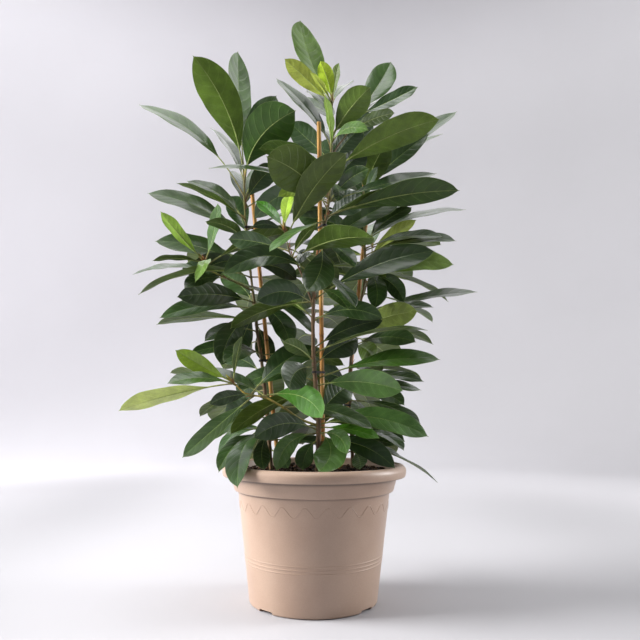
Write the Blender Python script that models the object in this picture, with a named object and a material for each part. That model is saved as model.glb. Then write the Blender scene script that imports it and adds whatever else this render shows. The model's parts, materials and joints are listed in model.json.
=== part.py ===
"""Potted ficus: three staked plants in one round pot. Metres, +Z up, the front faces -Y.

The origin is on the pot's axis, on the surface that the pot stands on.
"""
import math
import random

import bmesh
import bpy
from mathutils import Matrix, Vector
from mathutils.bvhtree import BVHTree

# The pot, radii and heights
SIDES = 36
BASE_R = 0.1087
BODY_TOP_R = 0.1316
BODY_TOP_Z = 0.184
COLLAR_LOW_R = 0.1384
COLLAR_TOP_R = 0.1448
RIM_LOW_Z = 0.209
RIM_TOP_Z = 0.2276
RIM_R = 0.160
MOUTH_R = 0.1465
WALL = 0.003
LIP = 0.003
COLLAR_EDGE = 0.0015
RIM_EDGE = 0.0010
MOUTH_EDGE = 0.0018
INNER_STEP_LOW = 0.0015
INNER_STEP_HIGH = 0.0039
FOOT_Z = 0.0058
FLOOR_TOP_Z = 0.0088
FOOT_IN_R = 0.099
PAD_R = 0.026
CORNER = 0.0025
RING_HEIGHTS = (0.0685, 0.0740, 0.0800)
RING_HALF = 0.0009
RING_PROUD = 0.0006
NOTCH_WIDTH = 0.031
NOTCH_HEIGHT = 0.005
NOTCH_CORNER = 0.002
NOTCH_REACH_IN = 0.012
NOTCH_REACH_OUT = 0.004
NOTCH_AZIMUTHS = (-44.0, 53.0, 136.0, -127.0)
DRAIN_R = 0.0045
DRAIN_CIRCLE_R = 0.068
DRAINS = 6
DRAIN_SIDES = 8
DRAIN_PAST = 0.002

# The soil and what stands in it
GAP = 0.0003
SOIL_TOP_Z = 0.213
SOIL_RISE = 0.003
SOIL_BUMP = 0.0022
SOIL_RINGS = (0.88, 0.58, 0.29)
SOIL_SEED = 5
HOLE_PAST = 0.03
CANE_R = 0.0040
CANE_SIDES = 10
CANE_FOOT_Z = 0.060
STEM_FOOT_Z = 0.130
STEM_SIDES = 6
TIP_TAPER = 0.45
TIE_HEIGHT = 0.0035
TIE_THICKNESS = 0.0012
TIE_PLAY = 0.0007
TIE_ROOM = 0.008
TIE_STEPS = 5

# The eye from which the plants' sheet coordinates are read
VIEW_POINT = Vector((0.0084, -1.1495, 0.3243))
CM = 0.01

# Leaves
LEAF_THICKNESS = 0.0022
STALK_R = 0.0015
STALK_SHARE = 0.15
FOLD = 0.16
TRUE_WIDTH_SHARE = 0.31
OUTLINE_RISE = 1.15
OUTLINE_FALL = 0.70
OUTLINE_PEAK = OUTLINE_RISE / (OUTLINE_RISE + OUTLINE_FALL)
OUTLINE_SCALE = 1.03 / (OUTLINE_PEAK ** OUTLINE_RISE * (1.0 - OUTLINE_PEAK) ** OUTLINE_FALL)
CLEARANCE = 0.0016
LONG_LEAF = 0.19
FIRST_SHARE = 0.75
BLADE_START = 0.04

# Where a shown leaf's tip and middle are tried along the line of sight, in centimetres
TIP_STEP = 1.1
TIP_TRIES = 7
MIDDLE_STEP = 1.6
MIDDLE_TRIES = 3

# The leaves that fill the back: angles in degrees, lengths in metres, widths as shares
GOLDEN_RATIO = 0.618034
BACK_SPREAD = 180.0
BACK_PITCH = -14.0
BACK_RISE = 72.0
BACK_DRAW = 8.0
BACK_LENGTHS = (0.140, 0.205)
BACK_SHORTER = 0.030
BACK_ROLL = 0.5
BACK_WIDTHS = (0.31, 0.38)
BACK_ARCH = 0.16
BACK_TRIES = 24
TRY_TURN = 6.0
TRY_TILT = 7.0

# Straight canes: foot and top as (x, z, y) on the sheet, in centimetres
CANES = {
    "cane_left": ((-6.1, 20.5, 4.6), (-12.0, 72.5, 5.0)),
    "cane_middle": ((1.6, 20.5, -4.8), (0.4, 86.0, -5.0)),
    "cane_right": ((4.4, 20.5, 6.6), (9.4, 68.0, 7.0)),
}

# Shoots: plant, radius at foot and tip in millimetres, points (x, z, y) on the sheet in centimetres
SHOOTS = {
    "left": ("plant_left", 3.6, 1.2, (
        (-7.5, 20.5, 3.3), (-8.3, 30.0, 3.3), (-9.5, 40.0, 3.4), (-10.5, 46.0, 3.5),
        (-10.9, 50.0, 3.5), (-11.8, 56.0, 3.6), (-13.0, 66.0, 3.7), (-13.4, 72.0, 3.7),
        (-13.3, 75.5, 3.6))),
    "left_branch": ("plant_left", 2.0, 0.9, (
        (-11.4, 53.5, 3.5), (-14.6, 55.1, 2.0), (-17.0, 56.1, 0.6), (-19.1, 57.3, -0.6),
        (-20.6, 59.2, -1.6))),
    "middle": ("plant_middle", 3.9, 1.3, (
        (0.5, 20.5, -6.1), (0.7, 29.0, -6.2), (0.2, 36.0, -6.3), (-0.3, 42.0, -6.3),
        (-0.4, 50.0, -6.3), (-0.1, 57.0, -6.5), (0.5, 62.0, -6.7), (1.7, 66.5, -6.7),
        (2.4, 71.0, -6.3), (2.8, 78.0, -5.9), (2.7, 84.0, -5.9), (2.9, 90.5, -6.0))),
    "middle_branch": ("plant_middle", 1.9, 0.9, (
        (-0.4, 51.0, -6.3), (-3.1, 57.9, -7.2), (-4.8, 60.7, -7.7), (-5.8, 65.2, -8.2))),
    "low_branch": ("plant_middle", 2.2, 1.0, (
        (0.7, 29.3, -6.2), (-2.6, 30.5, -7.6), (-5.1, 32.2, -8.6), (-8.8, 34.2, -9.6),
        (-12.3, 34.9, -10.4), (-14.7, 37.0, -11.0))),
    "top_branch": ("plant_middle", 2.0, 1.0, (
        (2.8, 79.5, -5.9), (4.2, 81.6, -5.3), (5.7, 83.8, -5.0), (7.4, 87.6, -5.0))),
    "right": ("plant_right", 3.6, 1.2, (
        (6.6, 20.5, 5.2), (6.7, 25.0, 5.2), (6.3, 34.0, 5.2), (6.5, 42.0, 5.2),
        (7.6, 49.0, 5.2), (8.9, 55.0, 5.3), (9.0, 62.0, 5.4), (8.8, 70.0, 5.3),
        (8.6, 76.5, 5.2))),
    "right_branch": ("plant_right", 2.0, 0.9, (
        (8.3, 52.5, 5.3), (9.6, 55.5, 8.6), (10.2, 58.5, 11.4), (10.4, 62.0, 13.6))),
}

# Ties: cane, shoot, height in metres
TIES = {
    "tie_left_low": ("cane_left", "left", 0.412),
    "tie_left_high": ("cane_left", "left", 0.668),
    "tie_middle_low": ("cane_middle", "middle", 0.385),
    "tie_middle_high": ("cane_middle", "middle", 0.640),
    "tie_right_low": ("cane_right", "right", 0.330),
    "tie_right_high": ("cane_right", "right", 0.590),
}

# Leaves that the front shows, read in centimetres on the sheet. Each row holds the root (x, z),
# the tip (x, z, y), the apparent width, the upward bow, the face that shows (1 upper, -1 under)
# and, where it isn't the usual one, the stalk's share of the length.
SHOWN_LEAVES = {
    "left": (
        ((-13.4, 71.5), (-33.8, 89.3, 8.0), 3.2, 2.9, 1, 0.30),
        ((-13.3, 73.0), (-24.0, 99.5, -4.0), 6.8, 2.3, -1, 0.26),
        ((-13.3, 74.5), (-15.3, 100.4, 9.0), 4.3, -0.3, 1, 0.26),
        ((-13.3, 74.0), (-3.9, 88.4, -7.0), 8.0, 2.5, -1, 0.18),
        ((-13.3, 75.0), (-7.7, 91.4, 8.0), 5.5, 1.2, 1, 0.20),
        ((-13.1, 63.0), (-31.5, 71.9, 6.0), 3.5, 1.8, 1),
        ((-13.1, 66.0), (-24.2, 74.3, 8.0), 2.6, 1.5, 1),
        ((-13.0, 67.0), (-26.1, 73.9, -3.0), 1.1, 0.9, -1),
        ((-11.9, 57.0), (-29.7, 62.7, 5.0), 3.8, 1.5, 1),
        ((-12.1, 58.5), (-22.5, 53.8, 3.0), 5.2, 2.6, 1),
        ((-10.9, 51.5), (-25.3, 52.3, -7.0), 4.2, 1.0, 1),
        ((-10.8, 50.0), (-28.3, 48.4, 0.0), 2.8, 1.6, 1),
        ((-10.7, 48.0), (-28.8, 47.2, 4.0), 1.7, 1.2, -1),
        ((-11.0, 49.5), (-16.8, 39.8, -7.0), 4.5, 1.6, 1),
        ((-10.4, 46.0), (-20.0, 44.2, -5.0), 2.0, 1.5, 1),
        ((-9.8, 42.0), (-22.5, 42.0, -1.0), 2.2, 1.2, 1),
        ((-11.8, 56.0), (-32.3, 52.7, -4.0), 1.1, 2.5, -1),
        ((-10.9, 51.4), (-4.5, 43.5, -6.0), 3.5, 1.5, 1),
        ((-9.6, 41.5), (-16.5, 40.4, -9.0), 2.4, 1.5, 1),
        ((-8.4, 30.5), (-18.7, 26.5, -4.0), 2.2, 1.5, 1),
        ((-8.2, 29.0), (-16.5, 26.5, 6.0), 1.8, 1.0, 1),
        ((-8.1, 28.0), (-16.8, 23.8, -2.0), 1.0, 2.5, 1),
        ((-8.1, 28.0), (-8.8, 21.6, -3.0), 3.0, 0.8, 1),
        ((-8.0, 25.5), (-4.6, 21.9, 0.0), 2.6, 0.5, 1),
        ((-8.1, 27.5), (-16.8, 21.1, -7.0), 2.2, 2.2, 1),
        ((-8.1, 27.4), (-13.4, 18.4, -12.6), 2.8, 2.6, 1),
        ((-9.2, 38.0), (-17.5, 41.5, 11.0), 3.4, 1.2, 1),
        ((-12.6, 62.0), (-20.5, 66.5, -7.0), 2.4, 1.2, -1),
        ((-12.0, 58.0), (-3.5, 55.5, 6.0), 3.2, 1.5, 1),
        ((-9.3, 39.0), (-3.2, 38.5, 9.0), 3.6, 1.5, 1),
        ((-13.4, 70.0), (-7.5, 77.5, 7.0), 4.2, 0.6, 1),
        ((-13.4, 69.0), (-0.8, 70.5, 10.0), 4.6, 2.0, 1),
        ((-10.9, 51.0), (-17.5, 57.0, 9.0), 4.2, 0.8, 1),
        ((-10.7, 47.5), (-8.6, 40.3, 9.0), 3.8, 0.4, 1),
        ((-9.0, 36.5), (-13.6, 34.4, 7.0), 4.0, 0.8, 1),
        ((-8.6, 31.5), (-16.0, 31.2, 5.0), 4.4, 0.9, 1),
        ((-10.8, 49.5), (-13.8, 42.0, 3.0), 3.6, 0.4, 1),
        ((-13.2, 63.5), (-16.0, 71.5, 6.0), 4.2, 0.4, 1),
    ),
    "left_branch": (
        ((-20.6, 59.2), (-28.9, 68.4, -6.0), 2.2, -0.2, -1),
        ((-20.4, 58.8), (-18.3, 70.0, 1.5), 2.0, -0.4, 1),
        ((-20.3, 58.3), (-30.0, 59.0, -4.0), 1.0, 0.8, -1),
        ((-20.0, 58.3), (-22.0, 55.0, -7.0), 1.6, 0.5, 1),
        ((-17.0, 56.1), (-24.5, 57.6, 5.0), 2.6, 0.8, 1),
        ((-16.0, 55.7), (-24.0, 54.0, -8.0), 2.0, 1.0, 1),
    ),
    "middle": (
        ((0.7, 28.6), (0.7, 21.3, -13.0), 5.1, 2.0, 1),
        ((0.7, 28.0), (5.8, 24.4, -13.2), 2.8, 1.5, 1),
        ((0.7, 27.0), (-2.0, 21.6, -8.5), 3.0, 0.8, 1),
        ((0.7, 25.0), (3.6, 21.8, -9.5), 2.6, 0.6, 1),
        ((0.7, 26.5), (14.2, 22.0, -9.0), 3.4, 1.8, 1),
        ((0.7, 28.9), (11.5, 27.2, -12.0), 1.8, 0.6, 1),
        ((0.7, 29.4), (9.5, 29.3, -8.0), 1.5, 0.8, -1),
        ((0.6, 30.4), (20.2, 27.5, -9.0), 3.8, 1.8, 1),
        ((0.7, 28.7), (-10.8, 27.0, -12.0), 4.0, 1.8, 1),
        ((0.7, 28.0), (-6.6, 21.4, -11.6), 3.0, 2.0, 1),
        ((0.1, 36.4), (15.8, 35.5, -12.0), 4.4, 1.1, 1),
        ((0.0, 37.6), (22.5, 41.2, -9.0), 2.8, 1.4, 1, 0.25),
        ((-0.2, 40.5), (-5.9, 44.2, -12.0), 2.4, 0.6, -1),
        ((-0.1, 39.5), (-4.5, 35.5, -15.0), 4.8, 1.5, 1),
        ((0.1, 37.0), (-14.0, 35.6, -4.0), 2.8, 2.0, 1),
        ((-0.3, 43.0), (12.3, 48.2, -3.0), 3.5, 1.0, 1),
        ((-0.4, 48.0), (12.3, 48.5, -11.0), 3.0, 1.8, 1),
        ((-0.4, 52.0), (22.0, 61.2, -6.0), 4.6, 1.6, 1, 0.20),
        ((0.6, 63.0), (-1.6, 53.4, -15.0), 5.0, -1.3, 1),
        ((-0.4, 48.5), (-9.5, 54.5, 2.0), 2.0, 0.6, -1),
        ((2.2, 69.0), (-9.5, 79.2, -14.0), 7.5, 1.5, -1),
        ((2.3, 71.5), (-20.2, 76.8, -3.0), 1.1, 1.8, 1, 0.2),
        ((2.7, 78.5), (-5.2, 86.0, -1.0), 4.4, 0.0, 1),
        ((0.8, 63.0), (7.2, 58.0, -13.0), 2.0, 0.8, 1),
        ((-0.1, 57.3), (7.3, 50.6, -14.0), 1.5, 1.0, 1),
        ((-0.3, 54.0), (6.0, 50.2, -15.0), 1.8, 1.0, 1),
        ((0.2, 60.0), (-3.4, 58.6, -10.0), 1.8, 1.2, 1),
        ((2.5, 74.5), (3.9, 70.5, -11.0), 1.8, 0.8, 1),
        ((2.4, 70.5), (9.9, 76.9, -11.0), 3.0, 0.8, 1),
        ((2.3, 70.0), (-11.4, 67.0, -1.0), 4.2, 3.2, 1),
        ((0.4, 61.0), (15.6, 71.0, 3.0), 4.0, 0.8, 1),
        ((1.9, 67.5), (26.8, 72.8, -9.0), 4.4, 1.2, -1, 0.2),
        ((2.3, 70.5), (22.5, 76.1, 2.0), 2.2, 0.5, 1, 0.2),
        ((-0.1, 56.0), (-17.1, 56.5, -10.0), 3.6, 3.4, 1),
        ((-0.4, 51.0), (-10.8, 51.6, -11.0), 4.4, 2.0, 1),
        ((1.3, 65.5), (-8.6, 60.8, -12.0), 1.2, 0.8, 1),
        ((2.4, 71.0), (-7.2, 71.4, -11.0), 2.3, 1.6, 1),
        ((2.8, 81.0), (-7.8, 94.8, 1.0), 2.5, 1.0, 1),
        ((2.8, 80.0), (1.4, 91.4, -9.0), 1.3, 0.4, -1),
        ((2.8, 82.5), (10.2, 93.2, -12.0), 4.8, 0.6, -1),
        ((2.8, 81.8), (9.8, 84.5, -12.0), 1.8, 1.5, 1),
        ((2.8, 76.0), (23.4, 86.8, -10.0), 5.2, 1.2, -1),
        ((2.8, 89.0), (-3.4, 106.9, 2.0), 4.5, -0.7, 1),
        ((2.8, 89.5), (-6.3, 98.9, -9.0), 3.2, 0.1, -1),
        ((2.8, 89.9), (-1.3, 96.2, -10.0), 1.1, 0.2, -1),
        ((2.8, 90.0), (0.6, 98.5, -8.0), 2.7, 0.3, -1),
        ((2.9, 90.0), (4.2, 98.1, -7.0), 1.5, 0.2, -1),
        ((2.8, 86.0), (-4.5, 91.0, 6.0), 3.0, 1.0, 1),
        ((2.5, 72.5), (9.2, 80.5, 0.0), 5.0, 0.6, 1),
        ((2.8, 77.5), (8.6, 85.0, -1.0), 4.2, 0.6, 1),
        ((1.7, 65.5), (8.8, 71.5, -1.0), 4.6, 0.5, 1),
        ((-0.2, 40.0), (7.8, 44.8, -1.0), 4.8, 0.6, 1),
        ((0.7, 31.0), (6.5, 36.6, -2.0), 4.6, 0.6, 1),
    ),
    "middle_branch": (
        ((-5.7, 65.0), (-4.8, 72.5, -6.0), 2.0, 0.3, 1),
        ((-5.7, 64.7), (-11.8, 65.6, -10.0), 1.5, 0.8, 1),
        ((-5.7, 64.9), (-11.2, 70.5, -5.0), 1.9, 0.5, 1),
        ((-4.8, 61.0), (-16.2, 63.2, -4.0), 3.4, 0.5, 1),
        ((-4.3, 60.0), (0.0, 66.0, -13.0), 1.6, 0.5, -1),
    ),
    "low_branch": (
        ((-14.6, 36.9), (-25.2, 42.6, -13.0), 2.9, -0.1, 1),
        ((-14.5, 36.9), (-13.2, 45.2, -10.0), 1.2, 0.3, -1),
        ((-14.4, 36.6), (-34.9, 31.7, -9.0), 2.6, 0.6, -1, 0.2),
        ((-14.2, 36.3), (-26.4, 36.6, -15.0), 1.8, 1.0, 1),
        ((-14.2, 36.4), (-26.0, 38.5, -5.0), 1.2, 0.6, -1),
        ((-10.9, 34.6), (-18.8, 33.0, -15.0), 2.2, 0.6, 1),
        ((-10.8, 34.6), (-23.3, 23.6, -12.0), 2.9, 0.1, 1),
        ((-11.5, 34.7), (-20.4, 30.8, -4.0), 1.4, 1.0, -1),
        ((-9.8, 34.5), (1.4, 30.6, -16.0), 4.2, 2.2, 1),
    ),
    "top_branch": (
        ((7.3, 87.4), (14.2, 98.4, 3.0), 4.8, -0.4, 1),
        ((7.3, 87.0), (19.3, 93.3, -9.0), 2.4, -0.1, 1),
        ((5.7, 83.9), (14.8, 88.0, -1.0), 2.6, 0.6, -1),
        ((7.3, 87.2), (7.7, 90.6, -9.0), 1.6, 0.3, -1),
    ),
    "right": (
        ((9.0, 63.0), (27.8, 69.1, 8.0), 1.4, 1.7, 1),
        ((9.0, 61.5), (23.5, 63.8, -1.0), 1.5, 1.2, 1),
        ((9.0, 60.0), (25.9, 63.1, -2.0), 1.8, 1.6, 1),
        ((9.0, 62.5), (17.8, 69.5, 12.0), 3.2, 1.0, 1),
        ((9.0, 59.0), (18.6, 67.1, 4.0), 2.6, 0.6, -1),
        ((8.9, 55.0), (25.4, 58.6, 8.0), 4.0, 2.2, 1),
        ((8.9, 57.5), (10.8, 50.4, -4.0), 3.6, 1.2, 1),
        ((8.9, 56.5), (16.2, 51.5, -2.0), 3.2, 1.6, 1),
        ((7.7, 49.5), (29.5, 53.6, 2.0), 1.6, 0.8, 1, 0.26),
        ((7.6, 49.0), (21.4, 50.7, -5.0), 1.0, 1.0, 1),
        ((7.0, 45.5), (18.6, 49.9, -4.0), 4.4, 1.0, -1),
        ((6.6, 43.5), (18.2, 44.3, -6.0), 2.7, 1.4, 1),
        ((7.3, 47.0), (21.3, 43.9, 6.0), 1.4, 1.5, -1),
        ((6.6, 44.0), (10.8, 40.6, -10.0), 3.6, 0.8, 1),
        ((6.3, 37.5), (19.5, 37.2, 0.0), 1.6, 1.0, 1),
        ((6.3, 35.8), (19.0, 35.7, 8.0), 1.8, 1.0, 1),
        ((6.3, 35.0), (16.0, 33.0, -5.0), 2.4, 1.4, 1),
        ((6.4, 34.0), (7.4, 31.0, -8.0), 2.4, 1.0, 1),
        ((6.4, 32.0), (18.8, 29.8, -1.0), 1.8, 1.2, 1),
        ((6.6, 28.5), (16.0, 26.6, 3.0), 2.0, 1.2, 1),
        ((6.6, 27.8), (15.8, 25.1, -5.0), 1.0, 1.8, 1),
        ((6.6, 26.4), (13.0, 22.4, -5.0), 2.0, 1.3, 1),
        ((6.6, 25.4), (8.0, 21.8, -2.0), 2.8, 0.6, 1),
        ((6.6, 25.0), (3.0, 21.9, 1.0), 2.6, 0.6, 1),
        ((6.6, 26.0), (14.2, 26.0, -3.0), 1.8, 0.8, 1),
        ((6.4, 39.5), (11.7, 38.4, -8.0), 2.2, 1.0, 1),
        ((8.7, 70.5), (13.5, 82.5, -6.0), 5.2, 0.8, -1),
        ((8.7, 73.0), (21.3, 84.0, -3.0), 3.2, 0.3, 1),
        ((8.7, 69.5), (11.6, 77.4, -6.0), 1.4, 0.4, 1),
        ((8.6, 75.5), (26.6, 88.4, 7.0), 2.6, 0.2, 1),
        ((8.7, 74.0), (23.8, 83.9, 12.0), 1.4, 0.8, 1),
        ((8.6, 76.0), (8.0, 90.0, 9.0), 4.0, 0.6, 1),
        ((9.0, 63.0), (-3.5, 67.5, 11.0), 4.6, 1.2, 1),
        ((9.0, 60.5), (5.6, 67.5, 9.0), 3.8, 0.3, 1),
        ((8.6, 75.2), (-0.4, 81.0, 10.0), 5.0, 1.2, 1),
        ((6.3, 36.5), (-0.8, 38.5, 10.0), 4.4, 1.0, 1),
    ),
}

# Leaves that fill the back: shoot, lowest and highest root, number, seed
HIDDEN_LEAVES = (
    ("left", 0.250, 0.765, 17, 86),
    ("left_branch", 0.555, 0.585, 3, 108),
    ("middle", 0.250, 0.880, 21, 238),
    ("middle_branch", 0.570, 0.620, 3, 124),
    ("low_branch", 0.320, 0.350, 3, 62),
    ("right", 0.245, 0.780, 19, 47),
    ("right_branch", 0.590, 0.640, 5, 46),
)


def clear_scene():
    for old in list(bpy.data.objects):
        bpy.data.objects.remove(old, do_unlink=True)


def material(name, colour, roughness, metallic=0.0):
    made = bpy.data.materials.new(name)
    made.use_nodes = True
    shader = made.node_tree.nodes["Principled BSDF"]
    shader.inputs["Base Color"].default_value = (*colour, 1.0)
    shader.inputs["Roughness"].default_value = roughness
    shader.inputs["Metallic"].default_value = metallic
    return made


def add_object(name, verts, faces, surface=None):
    """A mesh object of closed form with its faces pointing out."""
    mesh = bpy.data.meshes.new(name)
    mesh.from_pydata([tuple(v) for v in verts], [], faces)
    shell = bmesh.new()
    shell.from_mesh(mesh)
    bmesh.ops.recalc_face_normals(shell, faces=shell.faces)
    shell.to_mesh(mesh)
    shell.free()
    made = bpy.data.objects.new(name, mesh)
    bpy.context.scene.collection.objects.link(made)
    if surface:
        mesh.materials.append(surface)
    return made


def apply_boolean(target, operands, operation, solver="EXACT"):
    """Cut or join the operands, which are then removed."""
    group = bpy.data.collections.new("operands")
    bpy.context.scene.collection.children.link(group)
    for item in operands:
        bpy.context.scene.collection.objects.unlink(item)
        group.objects.link(item)
    change = target.modifiers.new(operation.lower(), "BOOLEAN")
    change.operation = operation
    change.solver = solver
    change.operand_type = "COLLECTION"
    change.collection = group
    graph = bpy.context.evaluated_depsgraph_get()
    result = bpy.data.meshes.new_from_object(target.evaluated_get(graph))
    target.modifiers.clear()
    target.data = result
    for item in list(group.objects):
        bpy.data.objects.remove(item, do_unlink=True)
    bpy.data.collections.remove(group)


def smooth(made, angle=35.0):
    made.data.shade_smooth()
    made.data.set_sharp_from_angle(angle=math.radians(angle))


def turned(profile, sides=SIDES):
    """Vertices and faces of a closed profile (r, z) turned about Z; r = 0 only at both ends."""
    verts = []
    rows = []
    for r, z in profile:
        if r == 0.0:
            rows.append([len(verts)] * sides)
            verts.append(Vector((0.0, 0.0, z)))
            continue
        rows.append(list(range(len(verts), len(verts) + sides)))
        for i in range(sides):
            angle = 2 * math.pi * i / sides
            verts.append(Vector((r * math.cos(angle), r * math.sin(angle), z)))
    faces = []
    for low, high in zip(rows, rows[1:]):
        for i in range(sides):
            j = (i + 1) % sides
            corners = [low[i], low[j], high[j], high[i]]
            faces.append(list(dict.fromkeys(corners)))
    return verts, faces


def at_depth(x, z, y):
    """The point at depth y that lies behind the sheet's point (x, z), all in centimetres."""
    k = (y * CM - VIEW_POINT.y) / -VIEW_POINT.y
    return Vector((VIEW_POINT.x + (x * CM - VIEW_POINT.x) * k, y * CM,
                   VIEW_POINT.z + (z * CM - VIEW_POINT.z) * k))


def on_sheet(point):
    """Where a point is seen on the sheet, in centimetres."""
    k = -VIEW_POINT.y / (point.y - VIEW_POINT.y)
    return ((VIEW_POINT.x + (point.x - VIEW_POINT.x) * k) / CM,
            (VIEW_POINT.z + (point.z - VIEW_POINT.z) * k) / CM)


def smooth_route(points, steps=2):
    """A Catmull-Rom curve through the points."""
    ends = [points[0] * 2 - points[1]] + list(points) + [points[-1] * 2 - points[-2]]
    route = []
    for a, b, c, d in zip(ends, ends[1:], ends[2:], ends[3:]):
        for i in range(steps):
            t = i / steps
            route.append(0.5 * (2 * b + (c - a) * t + (2 * a - 5 * b + 4 * c - d) * t ** 2
                                + (3 * b - a - 3 * c + d) * t ** 3))
    return route + [points[-1]]


def tube(route, radii, sides):
    """Vertices and faces of a capped tube along a route."""
    verts = []
    across = Vector((1.0, 0.0, 0.0))
    last = len(route) - 1
    for i, (point, radius) in enumerate(zip(route, radii)):
        along = (route[min(i + 1, last)] - route[max(i - 1, 0)]).normalized()
        across = (across - across.dot(along) * along).normalized()
        other = along.cross(across)
        for k in range(sides):
            angle = 2 * math.pi * k / sides
            verts.append(point + radius * (math.cos(angle) * across + math.sin(angle) * other))
    faces = [list(range(sides))[::-1], [last * sides + k for k in range(sides)]]
    for i in range(last):
        for k in range(sides):
            j = (k + 1) % sides
            faces.append([i * sides + k, i * sides + j, (i + 1) * sides + j, (i + 1) * sides + k])
    return verts, faces


class Shoot:
    """A stem or side shoot: a smooth route with a radius that narrows towards its tip."""

    def __init__(self, name):
        self.name = name
        self.plant, foot, tip, points = SHOOTS[name]
        self.route = smooth_route([at_depth(*p) for p in points])
        if name in ("left", "middle", "right"):
            foot_point = self.route[0].copy()
            foot_point.z = STEM_FOOT_Z
            self.route.insert(0, foot_point)
        last = len(self.route) - 1
        self.radii = [(foot + (tip - foot) * i / last) * 0.001 for i in range(last + 1)]
        self.radii[-1] *= TIP_TAPER

    def nearest(self, x, z):
        """The route's point that is seen nearest to (x, z) on the sheet."""
        def apart(point):
            px, pz = on_sheet(point)
            return (px - x) ** 2 + (pz - z) ** 2
        best = min(range(len(self.route) - 1), key=lambda i: apart(
            (self.route[i] + self.route[i + 1]) / 2))
        steps = [self.route[best].lerp(self.route[best + 1], i / 8) for i in range(9)]
        return self.off_ties(min(steps, key=apart))

    def at_height(self, z):
        """The point at a height, and the route's radius there."""
        for low, high, radius in zip(self.route, self.route[1:], self.radii):
            if low.z <= z <= high.z:
                return low.lerp(high, (z - low.z) / (high.z - low.z)), radius

    def off_ties(self, root):
        """The root, moved up its shoot where a tie is in the way."""
        for cane, shoot, height in TIES.values():
            if shoot == self.name and abs(root.z - height) < TIE_ROOM:
                return self.at_height(height + TIE_ROOM)[0]
        return root

    def mesh(self):
        return tube(self.route, self.radii, STEM_SIDES)


def outline(s):
    """A leaf's half width at share s of its blade, as a share of the greatest half width."""
    if s <= 0.0 or s >= 1.0:
        return 0.0
    return min(1.0, OUTLINE_SCALE * s ** OUTLINE_RISE * (1.0 - s) ** OUTLINE_FALL)


class Leaf:
    """One leaf: a bowed midrib from root to tip, and the way that its upper face points."""

    def __init__(self, root, tip, control, facing, half_width, stalk):
        self.root = root
        self.tip = tip
        self.control = control
        self.facing = facing
        self.half_width = half_width
        self.stalk = stalk

    def midrib(self, t):
        return ((1 - t) ** 2 * self.root + 2 * t * (1 - t) * self.control + t ** 2 * self.tip)

    def frame(self, t):
        along = 2 * (1 - t) * (self.control - self.root) + 2 * t * (self.tip - self.control)
        along.normalize()
        up = (self.facing - self.facing.dot(along) * along).normalized()
        return along, up, along.cross(up)

    def stations(self):
        length = (self.tip - self.root).length
        blades = 4 if length < LONG_LEAF else 5
        shares = [(i + 1) / blades for i in range(blades)]
        shares[0] *= FIRST_SHARE
        return [0.0, self.stalk] + [self.stalk + (1 - self.stalk) * s for s in shares]

    def mesh(self, swell=0.0, start=0.0):
        """Vertices and faces: diamond sections that end in a point."""
        verts = []
        rows = [max(t, start) for t in self.stations()]
        rows = sorted(set(rows))
        for t in rows[:-1]:
            along, up, side = self.frame(t)
            blade = (t - self.stalk) / (1 - self.stalk)
            half = max(STALK_R, self.half_width * outline(blade)) + swell
            thick = max(STALK_R * (1 if blade <= 0 else 0.0), LEAF_THICKNESS / 2) + swell
            lift = FOLD * (half - STALK_R) if blade > 0 else 0.0
            centre = self.midrib(t)
            verts += [centre + half * side + lift * up, centre + thick * up,
                      centre - half * side + lift * up, centre - thick * up]
        verts.append(self.tip + swell * self.frame(1.0)[0])
        faces = [[0, 1, 2, 3]]
        count = len(rows) - 1
        for i in range(count - 1):
            for k in range(4):
                j = (k + 1) % 4
                faces.append([4 * i + k, 4 * i + j, 4 * i + 4 + j, 4 * i + 4 + k])
        for k in range(4):
            faces.append([4 * count - 4 + k, 4 * count - 4 + (k + 1) % 4, 4 * count])
        return verts, faces


class Crowd:
    """What already stands in the space: leaves keep clear of it."""

    def __init__(self):
        self.items = []

    def add(self, owner, kind, verts, faces):
        lows = [min(v[k] for v in verts) for k in range(3)]
        highs = [max(v[k] for v in verts) for k in range(3)]
        self.items.append((owner, kind, lows, highs, BVHTree.FromPolygons(verts, faces)))

    def meets(self, verts, faces, skip):
        lows = [min(v[k] for v in verts) for k in range(3)]
        highs = [max(v[k] for v in verts) for k in range(3)]
        tree = BVHTree.FromPolygons(verts, faces)
        for owner, kind, low, high, other in self.items:
            if skip(owner, kind):
                continue
            if any(lows[k] > high[k] or highs[k] < low[k] for k in range(3)):
                continue
            if tree.overlap(other):
                return True
        return False


def leaf_is_clear(leaf, plant, crowd):
    """The blade keeps clear of everything, the stalk of all but its own plant."""
    blade = leaf.mesh(CLEARANCE, leaf.stalk + BLADE_START)
    if crowd.meets(*blade, skip=lambda owner, kind: False):
        return False
    whole = leaf.mesh(CLEARANCE)
    return not crowd.meets(*whole, skip=lambda owner, kind: owner == plant)


def shown_leaf(shoot, row, tip_shift, control_shift):
    """A leaf from its row, with its tip and its middle moved along the line of sight."""
    (root_x, root_z), (tip_x, tip_z, tip_y), width, bow, face = row[:5]
    stalk = row[5] if len(row) > 5 else STALK_SHARE
    root = shoot.nearest(root_x, root_z)
    tip = at_depth(tip_x, tip_z, tip_y + tip_shift)
    middle = (root + tip) / 2
    along = (tip - root).normalized()
    to_eye = (VIEW_POINT - middle).normalized()
    to_eye = (to_eye - to_eye.dot(along) * along).normalized()
    rise = along.cross(to_eye)
    if rise.z < 0:
        rise = -rise
    control = middle + rise * (2 * bow * CM) + to_eye * (control_shift * CM)
    length = (tip - root).length * (1 - stalk)
    half_width = max(TRUE_WIDTH_SHARE * length, width * CM) / 2
    turn = math.acos(min(1.0, width * CM / (2 * half_width)))
    facing = face * math.cos(turn) * to_eye + math.sin(turn) * rise
    return Leaf(root, tip, control, facing, half_width, stalk)


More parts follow.
